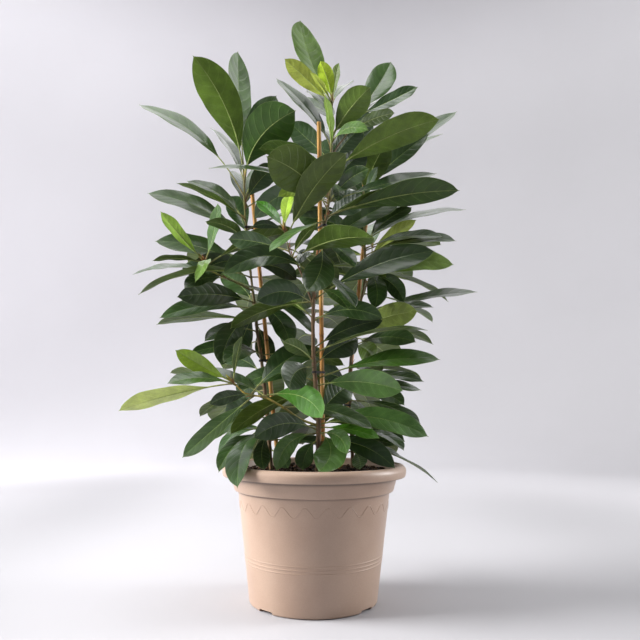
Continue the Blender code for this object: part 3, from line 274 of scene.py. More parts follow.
# Leaves that the front shows, read in centimetres on the sheet. Each row holds the root (x, z),
# the tip (x, z, y), the apparent width, the upward bow, the face that shows (1 upper, -1 under)
# and, where it isn't the usual one, the stalk's share of the length.
SHOWN_LEAVES = {
    "left": (
        ((-13.4, 71.5), (-33.8, 89.3, 8.0), 3.2, 2.9, 1, 0.30),
        ((-13.3, 73.0), (-24.0, 99.5, -4.0), 6.8, 2.3, -1, 0.26),
        ((-13.3, 74.5), (-15.3, 100.4, 9.0), 4.3, -0.3, 1, 0.26),
        ((-13.3, 74.0), (-3.9, 88.4, -7.0), 8.0, 2.5, -1, 0.18),
        ((-13.3, 75.0), (-7.7, 91.4, 8.0), 5.5, 1.2, 1, 0.20),
        ((-13.1, 63.0), (-31.5, 71.9, 6.0), 3.5, 1.8, 1),
        ((-13.1, 66.0), (-24.2, 74.3, 8.0), 2.6, 1.5, 1),
        ((-13.0, 67.0), (-26.1, 73.9, -3.0), 1.1, 0.9, -1),
        ((-11.9, 57.0), (-29.7, 62.7, 5.0), 3.8, 1.5, 1),
        ((-12.1, 58.5), (-22.5, 53.8, 3.0), 5.2, 2.6, 1),
        ((-10.9, 51.5), (-25.3, 52.3, -7.0), 4.2, 1.0, 1),
        ((-10.8, 50.0), (-28.3, 48.4, 0.0), 2.8, 1.6, 1),
        ((-10.7, 48.0), (-28.8, 47.2, 4.0), 1.7, 1.2, -1),
        ((-11.0, 49.5), (-16.8, 39.8, -7.0), 4.5, 1.6, 1),
        ((-10.4, 46.0), (-20.0, 44.2, -5.0), 2.0, 1.5, 1),
        ((-9.8, 42.0), (-22.5, 42.0, -1.0), 2.2, 1.2, 1),
        ((-11.8, 56.0), (-32.3, 52.7, -4.0), 1.1, 2.5, -1),
        ((-10.9, 51.4), (-4.5, 43.5, -6.0), 3.5, 1.5, 1),
        ((-9.6, 41.5), (-16.5, 40.4, -9.0), 2.4, 1.5, 1),
        ((-8.4, 30.5), (-18.7, 26.5, -4.0), 2.2, 1.5, 1),
        ((-8.2, 29.0), (-16.5, 26.5, 6.0), 1.8, 1.0, 1),
        ((-8.1, 28.0), (-16.8, 23.8, -2.0), 1.0, 2.5, 1),
        ((-8.1, 28.0), (-8.8, 21.6, -3.0), 3.0, 0.8, 1),
        ((-8.0, 25.5), (-4.6, 21.9, 0.0), 2.6, 0.5, 1),
        ((-8.1, 27.5), (-16.8, 21.1, -7.0), 2.2, 2.2, 1),
        ((-8.1, 27.4), (-13.4, 18.4, -12.6), 2.8, 2.6, 1),
        ((-9.2, 38.0), (-17.5, 41.5, 11.0), 3.4, 1.2, 1),
        ((-12.6, 62.0), (-20.5, 66.5, -7.0), 2.4, 1.2, -1),
        ((-12.0, 58.0), (-3.5, 55.5, 6.0), 3.2, 1.5, 1),
        ((-9.3, 39.0), (-3.2, 38.5, 9.0), 3.6, 1.5, 1),
        ((-13.4, 70.0), (-7.5, 77.5, 7.0), 4.2, 0.6, 1),
        ((-13.4, 69.0), (-0.8, 70.5, 10.0), 4.6, 2.0, 1),
        ((-10.9, 51.0), (-17.5, 57.0, 9.0), 4.2, 0.8, 1),
        ((-10.7, 47.5), (-8.6, 40.3, 9.0), 3.8, 0.4, 1),
        ((-9.0, 36.5), (-13.6, 34.4, 7.0), 4.0, 0.8, 1),
        ((-8.6, 31.5), (-16.0, 31.2, 5.0), 4.4, 0.9, 1),
        ((-10.8, 49.5), (-13.8, 42.0, 3.0), 3.6, 0.4, 1),
        ((-13.2, 63.5), (-16.0, 71.5, 6.0), 4.2, 0.4, 1),
    ),
    "left_branch": (
        ((-20.6, 59.2), (-28.9, 68.4, -6.0), 2.2, -0.2, -1),
        ((-20.4, 58.8), (-18.3, 70.0, 1.5), 2.0, -0.4, 1),
        ((-20.3, 58.3), (-30.0, 59.0, -4.0), 1.0, 0.8, -1),
        ((-20.0, 58.3), (-22.0, 55.0, -7.0), 1.6, 0.5, 1),
        ((-17.0, 56.1), (-24.5, 57.6, 5.0), 2.6, 0.8, 1),
        ((-16.0, 55.7), (-24.0, 54.0, -8.0), 2.0, 1.0, 1),
    ),
    "middle": (
        ((0.7, 28.6), (0.7, 21.3, -13.0), 5.1, 2.0, 1),
        ((0.7, 28.0), (5.8, 24.4, -13.2), 2.8, 1.5, 1),
        ((0.7, 27.0), (-2.0, 21.6, -8.5), 3.0, 0.8, 1),
        ((0.7, 25.0), (3.6, 21.8, -9.5), 2.6, 0.6, 1),
        ((0.7, 26.5), (14.2, 22.0, -9.0), 3.4, 1.8, 1),
        ((0.7, 28.9), (11.5, 27.2, -12.0), 1.8, 0.6, 1),
        ((0.7, 29.4), (9.5, 29.3, -8.0), 1.5, 0.8, -1),
        ((0.6, 30.4), (20.2, 27.5, -9.0), 3.8, 1.8, 1),
        ((0.7, 28.7), (-10.8, 27.0, -12.0), 4.0, 1.8, 1),
        ((0.7, 28.0), (-6.6, 21.4, -11.6), 3.0, 2.0, 1),
        ((0.1, 36.4), (15.8, 35.5, -12.0), 4.4, 1.1, 1),
        ((0.0, 37.6), (22.5, 41.2, -9.0), 2.8, 1.4, 1, 0.25),
        ((-0.2, 40.5), (-5.9, 44.2, -12.0), 2.4, 0.6, -1),
        ((-0.1, 39.5), (-4.5, 35.5, -15.0), 4.8, 1.5, 1),
        ((0.1, 37.0), (-14.0, 35.6, -4.0), 2.8, 2.0, 1),
        ((-0.3, 43.0), (12.3, 48.2, -3.0), 3.5, 1.0, 1),
        ((-0.4, 48.0), (12.3, 48.5, -11.0), 3.0, 1.8, 1),
        ((-0.4, 52.0), (22.0, 61.2, -6.0), 4.6, 1.6, 1, 0.20),
        ((0.6, 63.0), (-1.6, 53.4, -15.0), 5.0, -1.3, 1),
        ((-0.4, 48.5), (-9.5, 54.5, 2.0), 2.0, 0.6, -1),
        ((2.2, 69.0), (-9.5, 79.2, -14.0), 7.5, 1.5, -1),
        ((2.3, 71.5), (-20.2, 76.8, -3.0), 1.1, 1.8, 1, 0.2),
        ((2.7, 78.5), (-5.2, 86.0, -1.0), 4.4, 0.0, 1),
        ((0.8, 63.0), (7.2, 58.0, -13.0), 2.0, 0.8, 1),
        ((-0.1, 57.3), (7.3, 50.6, -14.0), 1.5, 1.0, 1),
        ((-0.3, 54.0), (6.0, 50.2, -15.0), 1.8, 1.0, 1),
        ((0.2, 60.0), (-3.4, 58.6, -10.0), 1.8, 1.2, 1),
        ((2.5, 74.5), (3.9, 70.5, -11.0), 1.8, 0.8, 1),
        ((2.4, 70.5), (9.9, 76.9, -11.0), 3.0, 0.8, 1),
        ((2.3, 70.0), (-11.4, 67.0, -1.0), 4.2, 3.2, 1),
        ((0.4, 61.0), (15.6, 71.0, 3.0), 4.0, 0.8, 1),
        ((1.9, 67.5), (26.8, 72.8, -9.0), 4.4, 1.2, -1, 0.2),
        ((2.3, 70.5), (22.5, 76.1, 2.0), 2.2, 0.5, 1, 0.2),
        ((-0.1, 56.0), (-17.1, 56.5, -10.0), 3.6, 3.4, 1),
        ((-0.4, 51.0), (-10.8, 51.6, -11.0), 4.4, 2.0, 1),
        ((1.3, 65.5), (-8.6, 60.8, -12.0), 1.2, 0.8, 1),
        ((2.4, 71.0), (-7.2, 71.4, -11.0), 2.3, 1.6, 1),
        ((2.8, 81.0), (-7.8, 94.8, 1.0), 2.5, 1.0, 1),
        ((2.8, 80.0), (1.4, 91.4, -9.0), 1.3, 0.4, -1),
        ((2.8, 82.5), (10.2, 93.2, -12.0), 4.8, 0.6, -1),
        ((2.8, 81.8), (9.8, 84.5, -12.0), 1.8, 1.5, 1),
        ((2.8, 76.0), (23.4, 86.8, -10.0), 5.2, 1.2, -1),
        ((2.8, 89.0), (-3.4, 106.9, 2.0), 4.5, -0.7, 1),
        ((2.8, 89.5), (-6.3, 98.9, -9.0), 3.2, 0.1, -1),
        ((2.8, 89.9), (-1.3, 96.2, -10.0), 1.1, 0.2, -1),
        ((2.8, 90.0), (0.6, 98.5, -8.0), 2.7, 0.3, -1),
        ((2.9, 90.0), (4.2, 98.1, -7.0), 1.5, 0.2, -1),
        ((2.8, 86.0), (-4.5, 91.0, 6.0), 3.0, 1.0, 1),
        ((2.5, 72.5), (9.2, 80.5, 0.0), 5.0, 0.6, 1),
        ((2.8, 77.5), (8.6, 85.0, -1.0), 4.2, 0.6, 1),
        ((1.7, 65.5), (8.8, 71.5, -1.0), 4.6, 0.5, 1),
        ((-0.2, 40.0), (7.8, 44.8, -1.0), 4.8, 0.6, 1),
        ((0.7, 31.0), (6.5, 36.6, -2.0), 4.6, 0.6, 1),
    ),
    "middle_branch": (
        ((-5.7, 65.0), (-4.8, 72.5, -6.0), 2.0, 0.3, 1),
        ((-5.7, 64.7), (-11.8, 65.6, -10.0), 1.5, 0.8, 1),
        ((-5.7, 64.9), (-11.2, 70.5, -5.0), 1.9, 0.5, 1),
        ((-4.8, 61.0), (-16.2, 63.2, -4.0), 3.4, 0.5, 1),
        ((-4.3, 60.0), (0.0, 66.0, -13.0), 1.6, 0.5, -1),
    ),
    "low_branch": (
        ((-14.6, 36.9), (-25.2, 42.6, -13.0), 2.9, -0.1, 1),
        ((-14.5, 36.9), (-13.2, 45.2, -10.0), 1.2, 0.3, -1),
        ((-14.4, 36.6), (-34.9, 31.7, -9.0), 2.6, 0.6, -1, 0.2),
        ((-14.2, 36.3), (-26.4, 36.6, -15.0), 1.8, 1.0, 1),
        ((-14.2, 36.4), (-26.0, 38.5, -5.0), 1.2, 0.6, -1),
        ((-10.9, 34.6), (-18.8, 33.0, -15.0), 2.2, 0.6, 1),
        ((-10.8, 34.6), (-23.3, 23.6, -12.0), 2.9, 0.1, 1),
        ((-11.5, 34.7), (-20.4, 30.8, -4.0), 1.4, 1.0, -1),
        ((-9.8, 34.5), (1.4, 30.6, -16.0), 4.2, 2.2, 1),
    ),
    "top_branch": (
        ((7.3, 87.4), (14.2, 98.4, 3.0), 4.8, -0.4, 1),
        ((7.3, 87.0), (19.3, 93.3, -9.0), 2.4, -0.1, 1),
        ((5.7, 83.9), (14.8, 88.0, -1.0), 2.6, 0.6, -1),
        ((7.3, 87.2), (7.7, 90.6, -9.0), 1.6, 0.3, -1),
    ),
    "right": (
        ((9.0, 63.0), (27.8, 69.1, 8.0), 1.4, 1.7, 1),
        ((9.0, 61.5), (23.5, 63.8, -1.0), 1.5, 1.2, 1),
        ((9.0, 60.0), (25.9, 63.1, -2.0), 1.8, 1.6, 1),
        ((9.0, 62.5), (17.8, 69.5, 12.0), 3.2, 1.0, 1),
        ((9.0, 59.0), (18.6, 67.1, 4.0), 2.6, 0.6, -1),
        ((8.9, 55.0), (25.4, 58.6, 8.0), 4.0, 2.2, 1),
        ((8.9, 57.5), (10.8, 50.4, -4.0), 3.6, 1.2, 1),
        ((8.9, 56.5), (16.2, 51.5, -2.0), 3.2, 1.6, 1),
        ((7.7, 49.5), (29.5, 53.6, 2.0), 1.6, 0.8, 1, 0.26),
        ((7.6, 49.0), (21.4, 50.7, -5.0), 1.0, 1.0, 1),
        ((7.0, 45.5), (18.6, 49.9, -4.0), 4.4, 1.0, -1),
        ((6.6, 43.5), (18.2, 44.3, -6.0), 2.7, 1.4, 1),
        ((7.3, 47.0), (21.3, 43.9, 6.0), 1.4, 1.5, -1),
        ((6.6, 44.0), (10.8, 40.6, -10.0), 3.6, 0.8, 1),
        ((6.3, 37.5), (19.5, 37.2, 0.0), 1.6, 1.0, 1),
        ((6.3, 35.8), (19.0, 35.7, 8.0), 1.8, 1.0, 1),
        ((6.3, 35.0), (16.0, 33.0, -5.0), 2.4, 1.4, 1),
        ((6.4, 34.0), (7.4, 31.0, -8.0), 2.4, 1.0, 1),
        ((6.4, 32.0), (18.8, 29.8, -1.0), 1.8, 1.2, 1),
        ((6.6, 28.5), (16.0, 26.6, 3.0), 2.0, 1.2, 1),
        ((6.6, 27.8), (15.8, 25.1, -5.0), 1.0, 1.8, 1),
        ((6.6, 26.4), (13.0, 22.4, -5.0), 2.0, 1.3, 1),
        ((6.6, 25.4), (8.0, 21.8, -2.0), 2.8, 0.6, 1),
        ((6.6, 25.0), (3.0, 21.9, 1.0), 2.6, 0.6, 1),
        ((6.6, 26.0), (14.2, 26.0, -3.0), 1.8, 0.8, 1),
        ((6.4, 39.5), (11.7, 38.4, -8.0), 2.2, 1.0, 1),
        ((8.7, 70.5), (13.5, 82.5, -6.0), 5.2, 0.8, -1),
        ((8.7, 73.0), (21.3, 84.0, -3.0), 3.2, 0.3, 1),
        ((8.7, 69.5), (11.6, 77.4, -6.0), 1.4, 0.4, 1),
        ((8.6, 75.5), (26.6, 88.4, 7.0), 2.6, 0.2, 1),
        ((8.7, 74.0), (23.8, 83.9, 12.0), 1.4, 0.8, 1),
        ((8.6, 76.0), (8.0, 90.0, 9.0), 4.0, 0.6, 1),
        ((9.0, 63.0), (-3.5, 67.5, 11.0), 4.6, 1.2, 1),
        ((9.0, 60.5), (5.6, 67.5, 9.0), 3.8, 0.3, 1),
        ((8.6, 75.2), (-0.4, 81.0, 10.0), 5.0, 1.2, 1),
        ((6.3, 36.5), (-0.8, 38.5, 10.0), 4.4, 1.0, 1),
    ),
}

# Leaves that fill the back: shoot, lowest and highest root, number, seed
HIDDEN_LEAVES = (
    ("left", 0.250, 0.765, 17, 86),
    ("left_branch", 0.555, 0.585, 3, 108),
    ("middle", 0.250, 0.880, 21, 238),
    ("middle_branch", 0.570, 0.620, 3, 124),
    ("low_branch", 0.320, 0.350, 3, 62),
    ("right", 0.245, 0.780, 19, 47),
    ("right_branch", 0.590, 0.640, 5, 46),
)


def add_object(name, verts, faces, surface=None):
    """A mesh object of closed form with its faces pointing out."""
    mesh = bpy.data.meshes.new(name)
    mesh.from_pydata([tuple(v) for v in verts], [], faces)
    shell = bmesh.new()
    shell.from_mesh(mesh)
    bmesh.ops.recalc_face_normals(shell, faces=shell.faces)
    shell.to_mesh(mesh)
    shell.free()
    made = bpy.data.objects.new(name, mesh)
    bpy.context.scene.collection.objects.link(made)
    if surface:
        mesh.materials.append(surface)
    return made


def apply_boolean(target, operands, operation, solver="EXACT"):
    """Cut or join the operands, which are then removed."""
    group = bpy.data.collections.new("operands")
    bpy.context.scene.collection.children.link(group)
    for item in operands:
        bpy.context.scene.collection.objects.unlink(item)
        group.objects.link(item)
    change = target.modifiers.new(operation.lower(), "BOOLEAN")
    change.operation = operation
    change.solver = solver
    change.operand_type = "COLLECTION"
    change.collection = group
    graph = bpy.context.evaluated_depsgraph_get()
    result = bpy.data.meshes.new_from_object(target.evaluated_get(graph))
    target.modifiers.clear()
    target.data = result
    for item in list(group.objects):
        bpy.data.objects.remove(item, do_unlink=True)
    bpy.data.collections.remove(group)


def smooth(made, angle=35.0):
    made.data.shade_smooth()
    made.data.set_sharp_from_angle(angle=math.radians(angle))


def turned(profile, sides):
    """Vertices and faces of a closed profile (r, z) turned about Z; r = 0 only at both ends."""
    verts = []
    rows = []
    for r, z in profile:
        if r == 0.0:
            rows.append([len(verts)] * sides)
            verts.append(Vector((0.0, 0.0, z)))
            continue
        rows.append(list(range(len(verts), len(verts) + sides)))
        for i in range(sides):
            angle = 2 * math.pi * i / sides
            verts.append(Vector((r * math.cos(angle), r * math.sin(angle), z)))
    faces = []
    for low, high in zip(rows, rows[1:]):
        for i in range(sides):
            j = (i + 1) % sides
            corners = [low[i], low[j], high[j], high[i]]
            faces.append(list(dict.fromkeys(corners)))
    return verts, faces


def at_depth(x, z, y):
    """The point at depth y that lies behind the sheet's point (x, z), all in centimetres."""
    k = (y * CM - VIEW_POINT.y) / -VIEW_POINT.y
    return Vector((VIEW_POINT.x + (x * CM - VIEW_POINT.x) * k, y * CM,
                   VIEW_POINT.z + (z * CM - VIEW_POINT.z) * k))


def on_sheet(point):
    """Where a point is seen on the sheet, in centimetres."""
    k = -VIEW_POINT.y / (point.y - VIEW_POINT.y)
    return ((VIEW_POINT.x + (point.x - VIEW_POINT.x) * k) / CM,
            (VIEW_POINT.z + (point.z - VIEW_POINT.z) * k) / CM)


def smooth_route(points, steps=2):
    """A Catmull-Rom curve through the points."""
    ends = [points[0] * 2 - points[1]] + list(points) + [points[-1] * 2 - points[-2]]
    route = []
    for a, b, c, d in zip(ends, ends[1:], ends[2:], ends[3:]):
        for i in range(steps):
            t = i / steps
            route.append(0.5 * (2 * b + (c - a) * t + (2 * a - 5 * b + 4 * c - d) * t ** 2
                                + (3 * b - a - 3 * c + d) * t ** 3))
    return route + [points[-1]]


def tube(route, radii, sides):
    """Vertices and faces of a capped tube along a route."""
    verts = []
    across = Vector((1.0, 0.0, 0.0))
    last = len(route) - 1
    for i, (point, radius) in enumerate(zip(route, radii)):
        along = (route[min(i + 1, last)] - route[max(i - 1, 0)]).normalized()
        across = (across - across.dot(along) * along).normalized()
        other = along.cross(across)
        for k in range(sides):
            angle = 2 * math.pi * k / sides
            verts.append(point + radius * (math.cos(angle) * across + math.sin(angle) * other))
    faces = [list(range(sides))[::-1], [last * sides + k for k in range(sides)]]
    for i in range(last):
        for k in range(sides):
            j = (k + 1) % sides
            faces.append([i * sides + k, i * sides + j, (i + 1) * sides + j, (i + 1) * sides + k])
    return verts, faces


class Shoot:
    """A stem or side shoot: a smooth route with a radius that narrows towards its tip."""

    def __init__(self, name):
        self.name = name
        self.plant, foot, tip, points = SHOOTS[name]
        self.route = smooth_route([at_depth(*p) for p in points])
        if name in ("left", "middle", "right"):
            foot_point = self.route[0].copy()
            foot_point.z = STEM_FOOT_Z
            self.route.insert(0, foot_point)
        last = len(self.route) - 1
        self.radii = [(foot + (tip - foot) * i / last) * 0.001 for i in range(last + 1)]
        self.radii[-1] *= TIP_TAPER

    def nearest(self, x, z):
        """The route's point that is seen nearest to (x, z) on the sheet."""
        def apart(point):
            px, pz = on_sheet(point)
            return (px - x) ** 2 + (pz - z) ** 2
        best = min(range(len(self.route) - 1), key=lambda i: apart(
            (self.route[i] + self.route[i + 1]) / 2))
        steps = [self.route[best].lerp(self.route[best + 1], i / 8) for i in range(9)]
        return self.off_ties(min(steps, key=apart))

    def at_height(self, z):
        """The point at a height, and the route's radius there."""
        for low, high, radius in zip(self.route, self.route[1:], self.radii):
            if low.z <= z <= high.z:
                return low.lerp(high, (z - low.z) / (high.z - low.z)), radius

    def off_ties(self, root):
        """The root, moved up its shoot where a tie is in the way."""
        for cane, shoot, height in TIES.values():
            if shoot == self.name and abs(root.z - height) < TIE_ROOM:
                return self.at_height(height + TIE_ROOM)[0]
        return root

    def mesh(self):
        return tube(self.route, self.radii, STEM_SIDES)


def outline(s):
    """A leaf's half width at share s of its blade, as a share of the greatest half width."""
    if s <= 0.0 or s >= 1.0:
        return 0.0
    return min(1.0, OUTLINE_SCALE * s ** OUTLINE_RISE * (1.0 - s) ** OUTLINE_FALL)


class Leaf:
    """One leaf: a bowed midrib from root to tip, and the way that its upper face points."""

    def __init__(self, root, tip, control, facing, half_width, stalk):
        self.root = root
        self.tip = tip
        self.control = control
        self.facing = facing
        self.half_width = half_width
        self.stalk = stalk

    def midrib(self, t):
        return ((1 - t) ** 2 * self.root + 2 * t * (1 - t) * self.control + t ** 2 * self.tip)

    def frame(self, t):
        along = 2 * (1 - t) * (self.control - self.root) + 2 * t * (self.tip - self.control)
        along.normalize()
        up = (self.facing - self.facing.dot(along) * along).normalized()
        return along, up, along.cross(up)

    def stations(self):
        length = (self.tip - self.root).length
        blades = 4 if length < LONG_LEAF else 5
        shares = [(i + 1) / blades for i in range(blades)]
        shares[0] *= FIRST_SHARE
        return [0.0, self.stalk] + [self.stalk + (1 - self.stalk) * s for s in shares]

    def mesh(self, swell=0.0, start=0.0):
        """Vertices and faces: diamond sections that end in a point."""
        verts = []
        rows = [max(t, start) for t in self.stations()]
        rows = sorted(set(rows))
        for t in rows[:-1]:
            along, up, side = self.frame(t)
            blade = (t - self.stalk) / (1 - self.stalk)
            half = max(STALK_R, self.half_width * outline(blade)) + swell
            thick = max(STALK_R * (1 if blade <= 0 else 0.0), LEAF_THICKNESS / 2) + swell
            lift = FOLD * (half - STALK_R) if blade > 0 else 0.0
            centre = self.midrib(t)
            verts += [centre + half * side + lift * up, centre + thick * up,
                      centre - half * side + lift * up, centre - thick * up]
        verts.append(self.tip + swell * self.frame(1.0)[0])
        faces = [[0, 1, 2, 3]]
        count = len(rows) - 1
        for i in range(count - 1):
            for k in range(4):
                j = (k + 1) % 4
                faces.append([4 * i + k, 4 * i + j, 4 * i + 4 + j, 4 * i + 4 + k])
        for k in range(4):
            faces.append([4 * count - 4 + k, 4 * count - 4 + (k + 1) % 4, 4 * count])
        return verts, faces


class Crowd:
    """What already stands in the space: leaves keep clear of it."""

    def __init__(self):
        self.items = []

    def add(self, owner, kind, verts, faces):
        lows = [min(v[k] for v in verts) for k in range(3)]
        highs = [max(v[k] for v in verts) for k in range(3)]
        self.items.append((owner, kind, lows, highs, BVHTree.FromPolygons(verts, faces)))

    def meets(self, verts, faces, skip):
        lows = [min(v[k] for v in verts) for k in range(3)]
        highs = [max(v[k] for v in verts) for k in range(3)]
        tree = BVHTree.FromPolygons(verts, faces)
        for owner, kind, low, high, other in self.items:
            if skip(owner, kind):
                continue
            if any(lows[k] > high[k] or highs[k] < low[k] for k in range(3)):
                continue
            if tree.overlap(other):
                return True
        return False


def leaf_is_clear(leaf, plant, crowd):
    """The blade keeps clear of everything, the stalk of all but its own plant."""
    blade = leaf.mesh(CLEARANCE, leaf.stalk + BLADE_START)
    if crowd.meets(*blade, skip=lambda owner, kind: False):
        return False
    whole = leaf.mesh(CLEARANCE)
    return not crowd.meets(*whole, skip=lambda owner, kind: owner == plant)


def shown_leaf(shoot, row, tip_shift, control_shift):
    """A leaf from its row, with its tip and its middle moved along the line of sight."""
    (root_x, root_z), (tip_x, tip_z, tip_y), width, bow, face = row[:5]
    stalk = row[5] if len(row) > 5 else STALK_SHARE
    root = shoot.nearest(root_x, root_z)
    tip = at_depth(tip_x, tip_z, tip_y + tip_shift)
    middle = (root + tip) / 2
    along = (tip - root).normalized()
    to_eye = (VIEW_POINT - middle).normalized()
    to_eye = (to_eye - to_eye.dot(along) * along).normalized()
    rise = along.cross(to_eye)
    if rise.z < 0:
        rise = -rise
    control = middle + rise * (2 * bow * CM) + to_eye * (control_shift * CM)
    length = (tip - root).length * (1 - stalk)
    half_width = max(TRUE_WIDTH_SHARE * length, width * CM) / 2
    turn = math.acos(min(1.0, width * CM / (2 * half_width)))
    facing = face * math.cos(turn) * to_eye + math.sin(turn) * rise
    return Leaf(root, tip, control, facing, half_width, stalk)


def hidden_leaf(root, heading, pitch, length, roll, share):
    """A leaf that points along a heading, which droops a little under its weight."""
    along = Vector((math.cos(heading) * math.cos(pitch), math.sin(heading) * math.cos(pitch),
                    math.sin(pitch)))
    tip = root + along * length
    up = Vector((0.0, 0.0, 1.0))
    up = (up - up.dot(along) * along).normalized()
    control = (root + tip) / 2 + up * (BACK_ARCH * length)
    facing = Matrix.Rotation(roll, 3, along) @ up
    return Leaf(root, tip, control, facing, share * length / 2, STALK_SHARE)


def tip_shifts():
    """Depth changes to try, the smallest first: (tip, middle) in centimetres."""
    pairs = [(tip * TIP_STEP, middle * MIDDLE_STEP) for tip in range(-TIP_TRIES, TIP_TRIES + 1)
             for middle in range(-MIDDLE_TRIES, MIDDLE_TRIES + 1)]
    return sorted(pairs, key=lambda p: (abs(p[0]) + 0.7 * abs(p[1]), p))


def place_shown_leaves(shoots, crowd, placed):
    shifts = tip_shifts()
    for name, rows in SHOWN_LEAVES.items():
        shoot = shoots[name]
        for row in rows:
            for tip_shift, control_shift in shifts:
                leaf = shown_leaf(shoot, row, tip_shift, control_shift)
                if leaf_is_clear(leaf, shoot.plant, crowd):
                    placed.append((name, leaf, LEAF_TONES.get(row[1][:2], "dark")))
                    crowd.add(shoot.plant, "leaf", *leaf.mesh())
                    break


def place_hidden_leaves(shoots, crowd, placed):
    for name, low, high, count, seed in HIDDEN_LEAVES:
        shoot = shoots[name]
        draw = random.Random(seed)
        for i in range(count):
            share = (i + 0.5) / count
            root = shoot.off_ties(shoot.at_height(low + (high - low) * share)[0])
            spread = (i * GOLDEN_RATIO) % 1.0 - 0.5
            heading = math.radians(90.0 + BACK_SPREAD * spread)
            pitch = BACK_PITCH + BACK_RISE * share ** 2.2 + draw.uniform(-BACK_DRAW, BACK_DRAW)
            pitch = math.radians(pitch)
            length = draw.uniform(*BACK_LENGTHS) - BACK_SHORTER * share ** 3
            roll = draw.uniform(-BACK_ROLL, BACK_ROLL)
            width = draw.uniform(*BACK_WIDTHS)
            for attempt in range(BACK_TRIES):
                turn = math.radians(TRY_TURN) * ((attempt + 1) // 2) * (-1) ** attempt
                tilt = math.radians(TRY_TILT) * ((attempt % 5) - 2)
                leaf = hidden_leaf(root, heading + turn, pitch + tilt, length, roll, width)
                if leaf_is_clear(leaf, shoot.plant, crowd):
                    placed.append((name, leaf, "dark"))
                    crowd.add(shoot.plant, "leaf", *leaf.mesh())
                    break


def outer_profile():
    """The pot's outside from its foot to the top of its rim, as (r, z)."""
    slope = (BODY_TOP_R - BASE_R) / BODY_TOP_Z
    points = [(BASE_R - CORNER, 0.0), (BASE_R - 0.3 * CORNER, 0.3 * CORNER),
              (BASE_R + slope * CORNER, CORNER)]
    for z in RING_HEIGHTS:
        r = BASE_R + slope * z
        points += [(r - slope * RING_HALF, z - RING_HALF), (r + RING_PROUD, z),
                   (r + slope * RING_HALF, z + RING_HALF)]
    points += [(BODY_TOP_R, BODY_TOP_Z), (COLLAR_LOW_R - COLLAR_EDGE, BODY_TOP_Z),
               (COLLAR_LOW_R, BODY_TOP_Z + COLLAR_EDGE), (COLLAR_TOP_R, RIM_LOW_Z),
               (MOUTH_R + COLLAR_EDGE, RIM_TOP_Z - LIP), (RIM_R - LIP, RIM_TOP_Z - LIP),
               (RIM_R - LIP, RIM_LOW_Z)]
    return points + rolled_rim()


def rolled_rim():
    """The rim's outside, low edge first: it rolls in strongly above and a little below."""
    middle = (RIM_LOW_Z + RIM_TOP_Z) / 2
    half = (RIM_TOP_Z - RIM_LOW_Z) / 2
    points = []
    for i in range(RIM_STEPS + 1):
        u = 2.0 * i / RIM_STEPS - 1.0
        roll = RIM_ROLL_TOP if u > 0 else RIM_ROLL_LOW
        points.append((RIM_R - roll * abs(u) ** 2.4, middle + half * u))
    return points


def inner_profile(inset=0.0):
    """The pot's inside from the floor up to under the mouth, inset for what fills it."""
    slope = (BODY_TOP_R - BASE_R) / BODY_TOP_Z
    floor = FLOOR_TOP_Z + inset
    return [(BASE_R + slope * floor - WALL - inset, floor),
            (BODY_TOP_R - WALL - inset, BODY_TOP_Z + INNER_STEP_LOW + inset),
            (COLLAR_LOW_R - WALL - inset, BODY_TOP_Z + INNER_STEP_HIGH + inset),
            (COLLAR_TOP_R - WALL - inset, RIM_LOW_Z)]


def notch(index, azimuth):
    """A cutter through the foot ring: a low arch with rounded top corners."""
    half = NOTCH_WIDTH / 2
    corner = NOTCH_CORNER
    arch = [(-half, -corner), (half, -corner), (half, NOTCH_HEIGHT - corner),
            (half - corner, NOTCH_HEIGHT), (corner - half, NOTCH_HEIGHT),
            (-half, NOTCH_HEIGHT - corner)]
    near = FOOT_IN_R - NOTCH_REACH_IN
    far = BASE_R + NOTCH_REACH_OUT
    verts = [Vector((x, y, z)) for y in (-near, -far) for x, z in arch]
    count = len(arch)
    faces = [list(range(count)), list(range(count, 2 * count))[::-1]]
    faces += [[i, (i + 1) % count, count + (i + 1) % count, count + i] for i in range(count)]
    turn = Matrix.Rotation(math.radians(azimuth), 4, "Z")
    return add_object(f"notch_{index}", [turn @ v for v in verts], faces)


def drain(index):
    angle = 2 * math.pi * (index + 0.5) / DRAINS
    x = DRAIN_CIRCLE_R * math.cos(angle)
    y = DRAIN_CIRCLE_R * math.sin(angle)
    route = [Vector((x, y, FOOT_Z - DRAIN_PAST)), Vector((x, y, FLOOR_TOP_Z + DRAIN_PAST))]
    return add_object(f"drain_{index}", *tube(route, [DRAIN_R] * 2, DRAIN_SIDES))


def cane_route(name):
    foot, top = (at_depth(*p) for p in CANES[name])
    along = (top - foot).normalized()
    foot = foot + along * ((CANE_FOOT_Z - foot.z) / along.z)
    return foot, top


def cane_mesh(name):
    return tube(list(cane_route(name)), [CANE_R] * 2, CANE_SIDES)


def tie_frame(cane, shoot, height):
    """The cane's middle at a height, its direction, the stem's middle and its radius."""
    foot, top = cane_route(cane)
    along = (top - foot).normalized()
    on_cane = foot + along * ((height - foot.z) / along.z)
    return on_cane, along, *shoot.at_height(height)


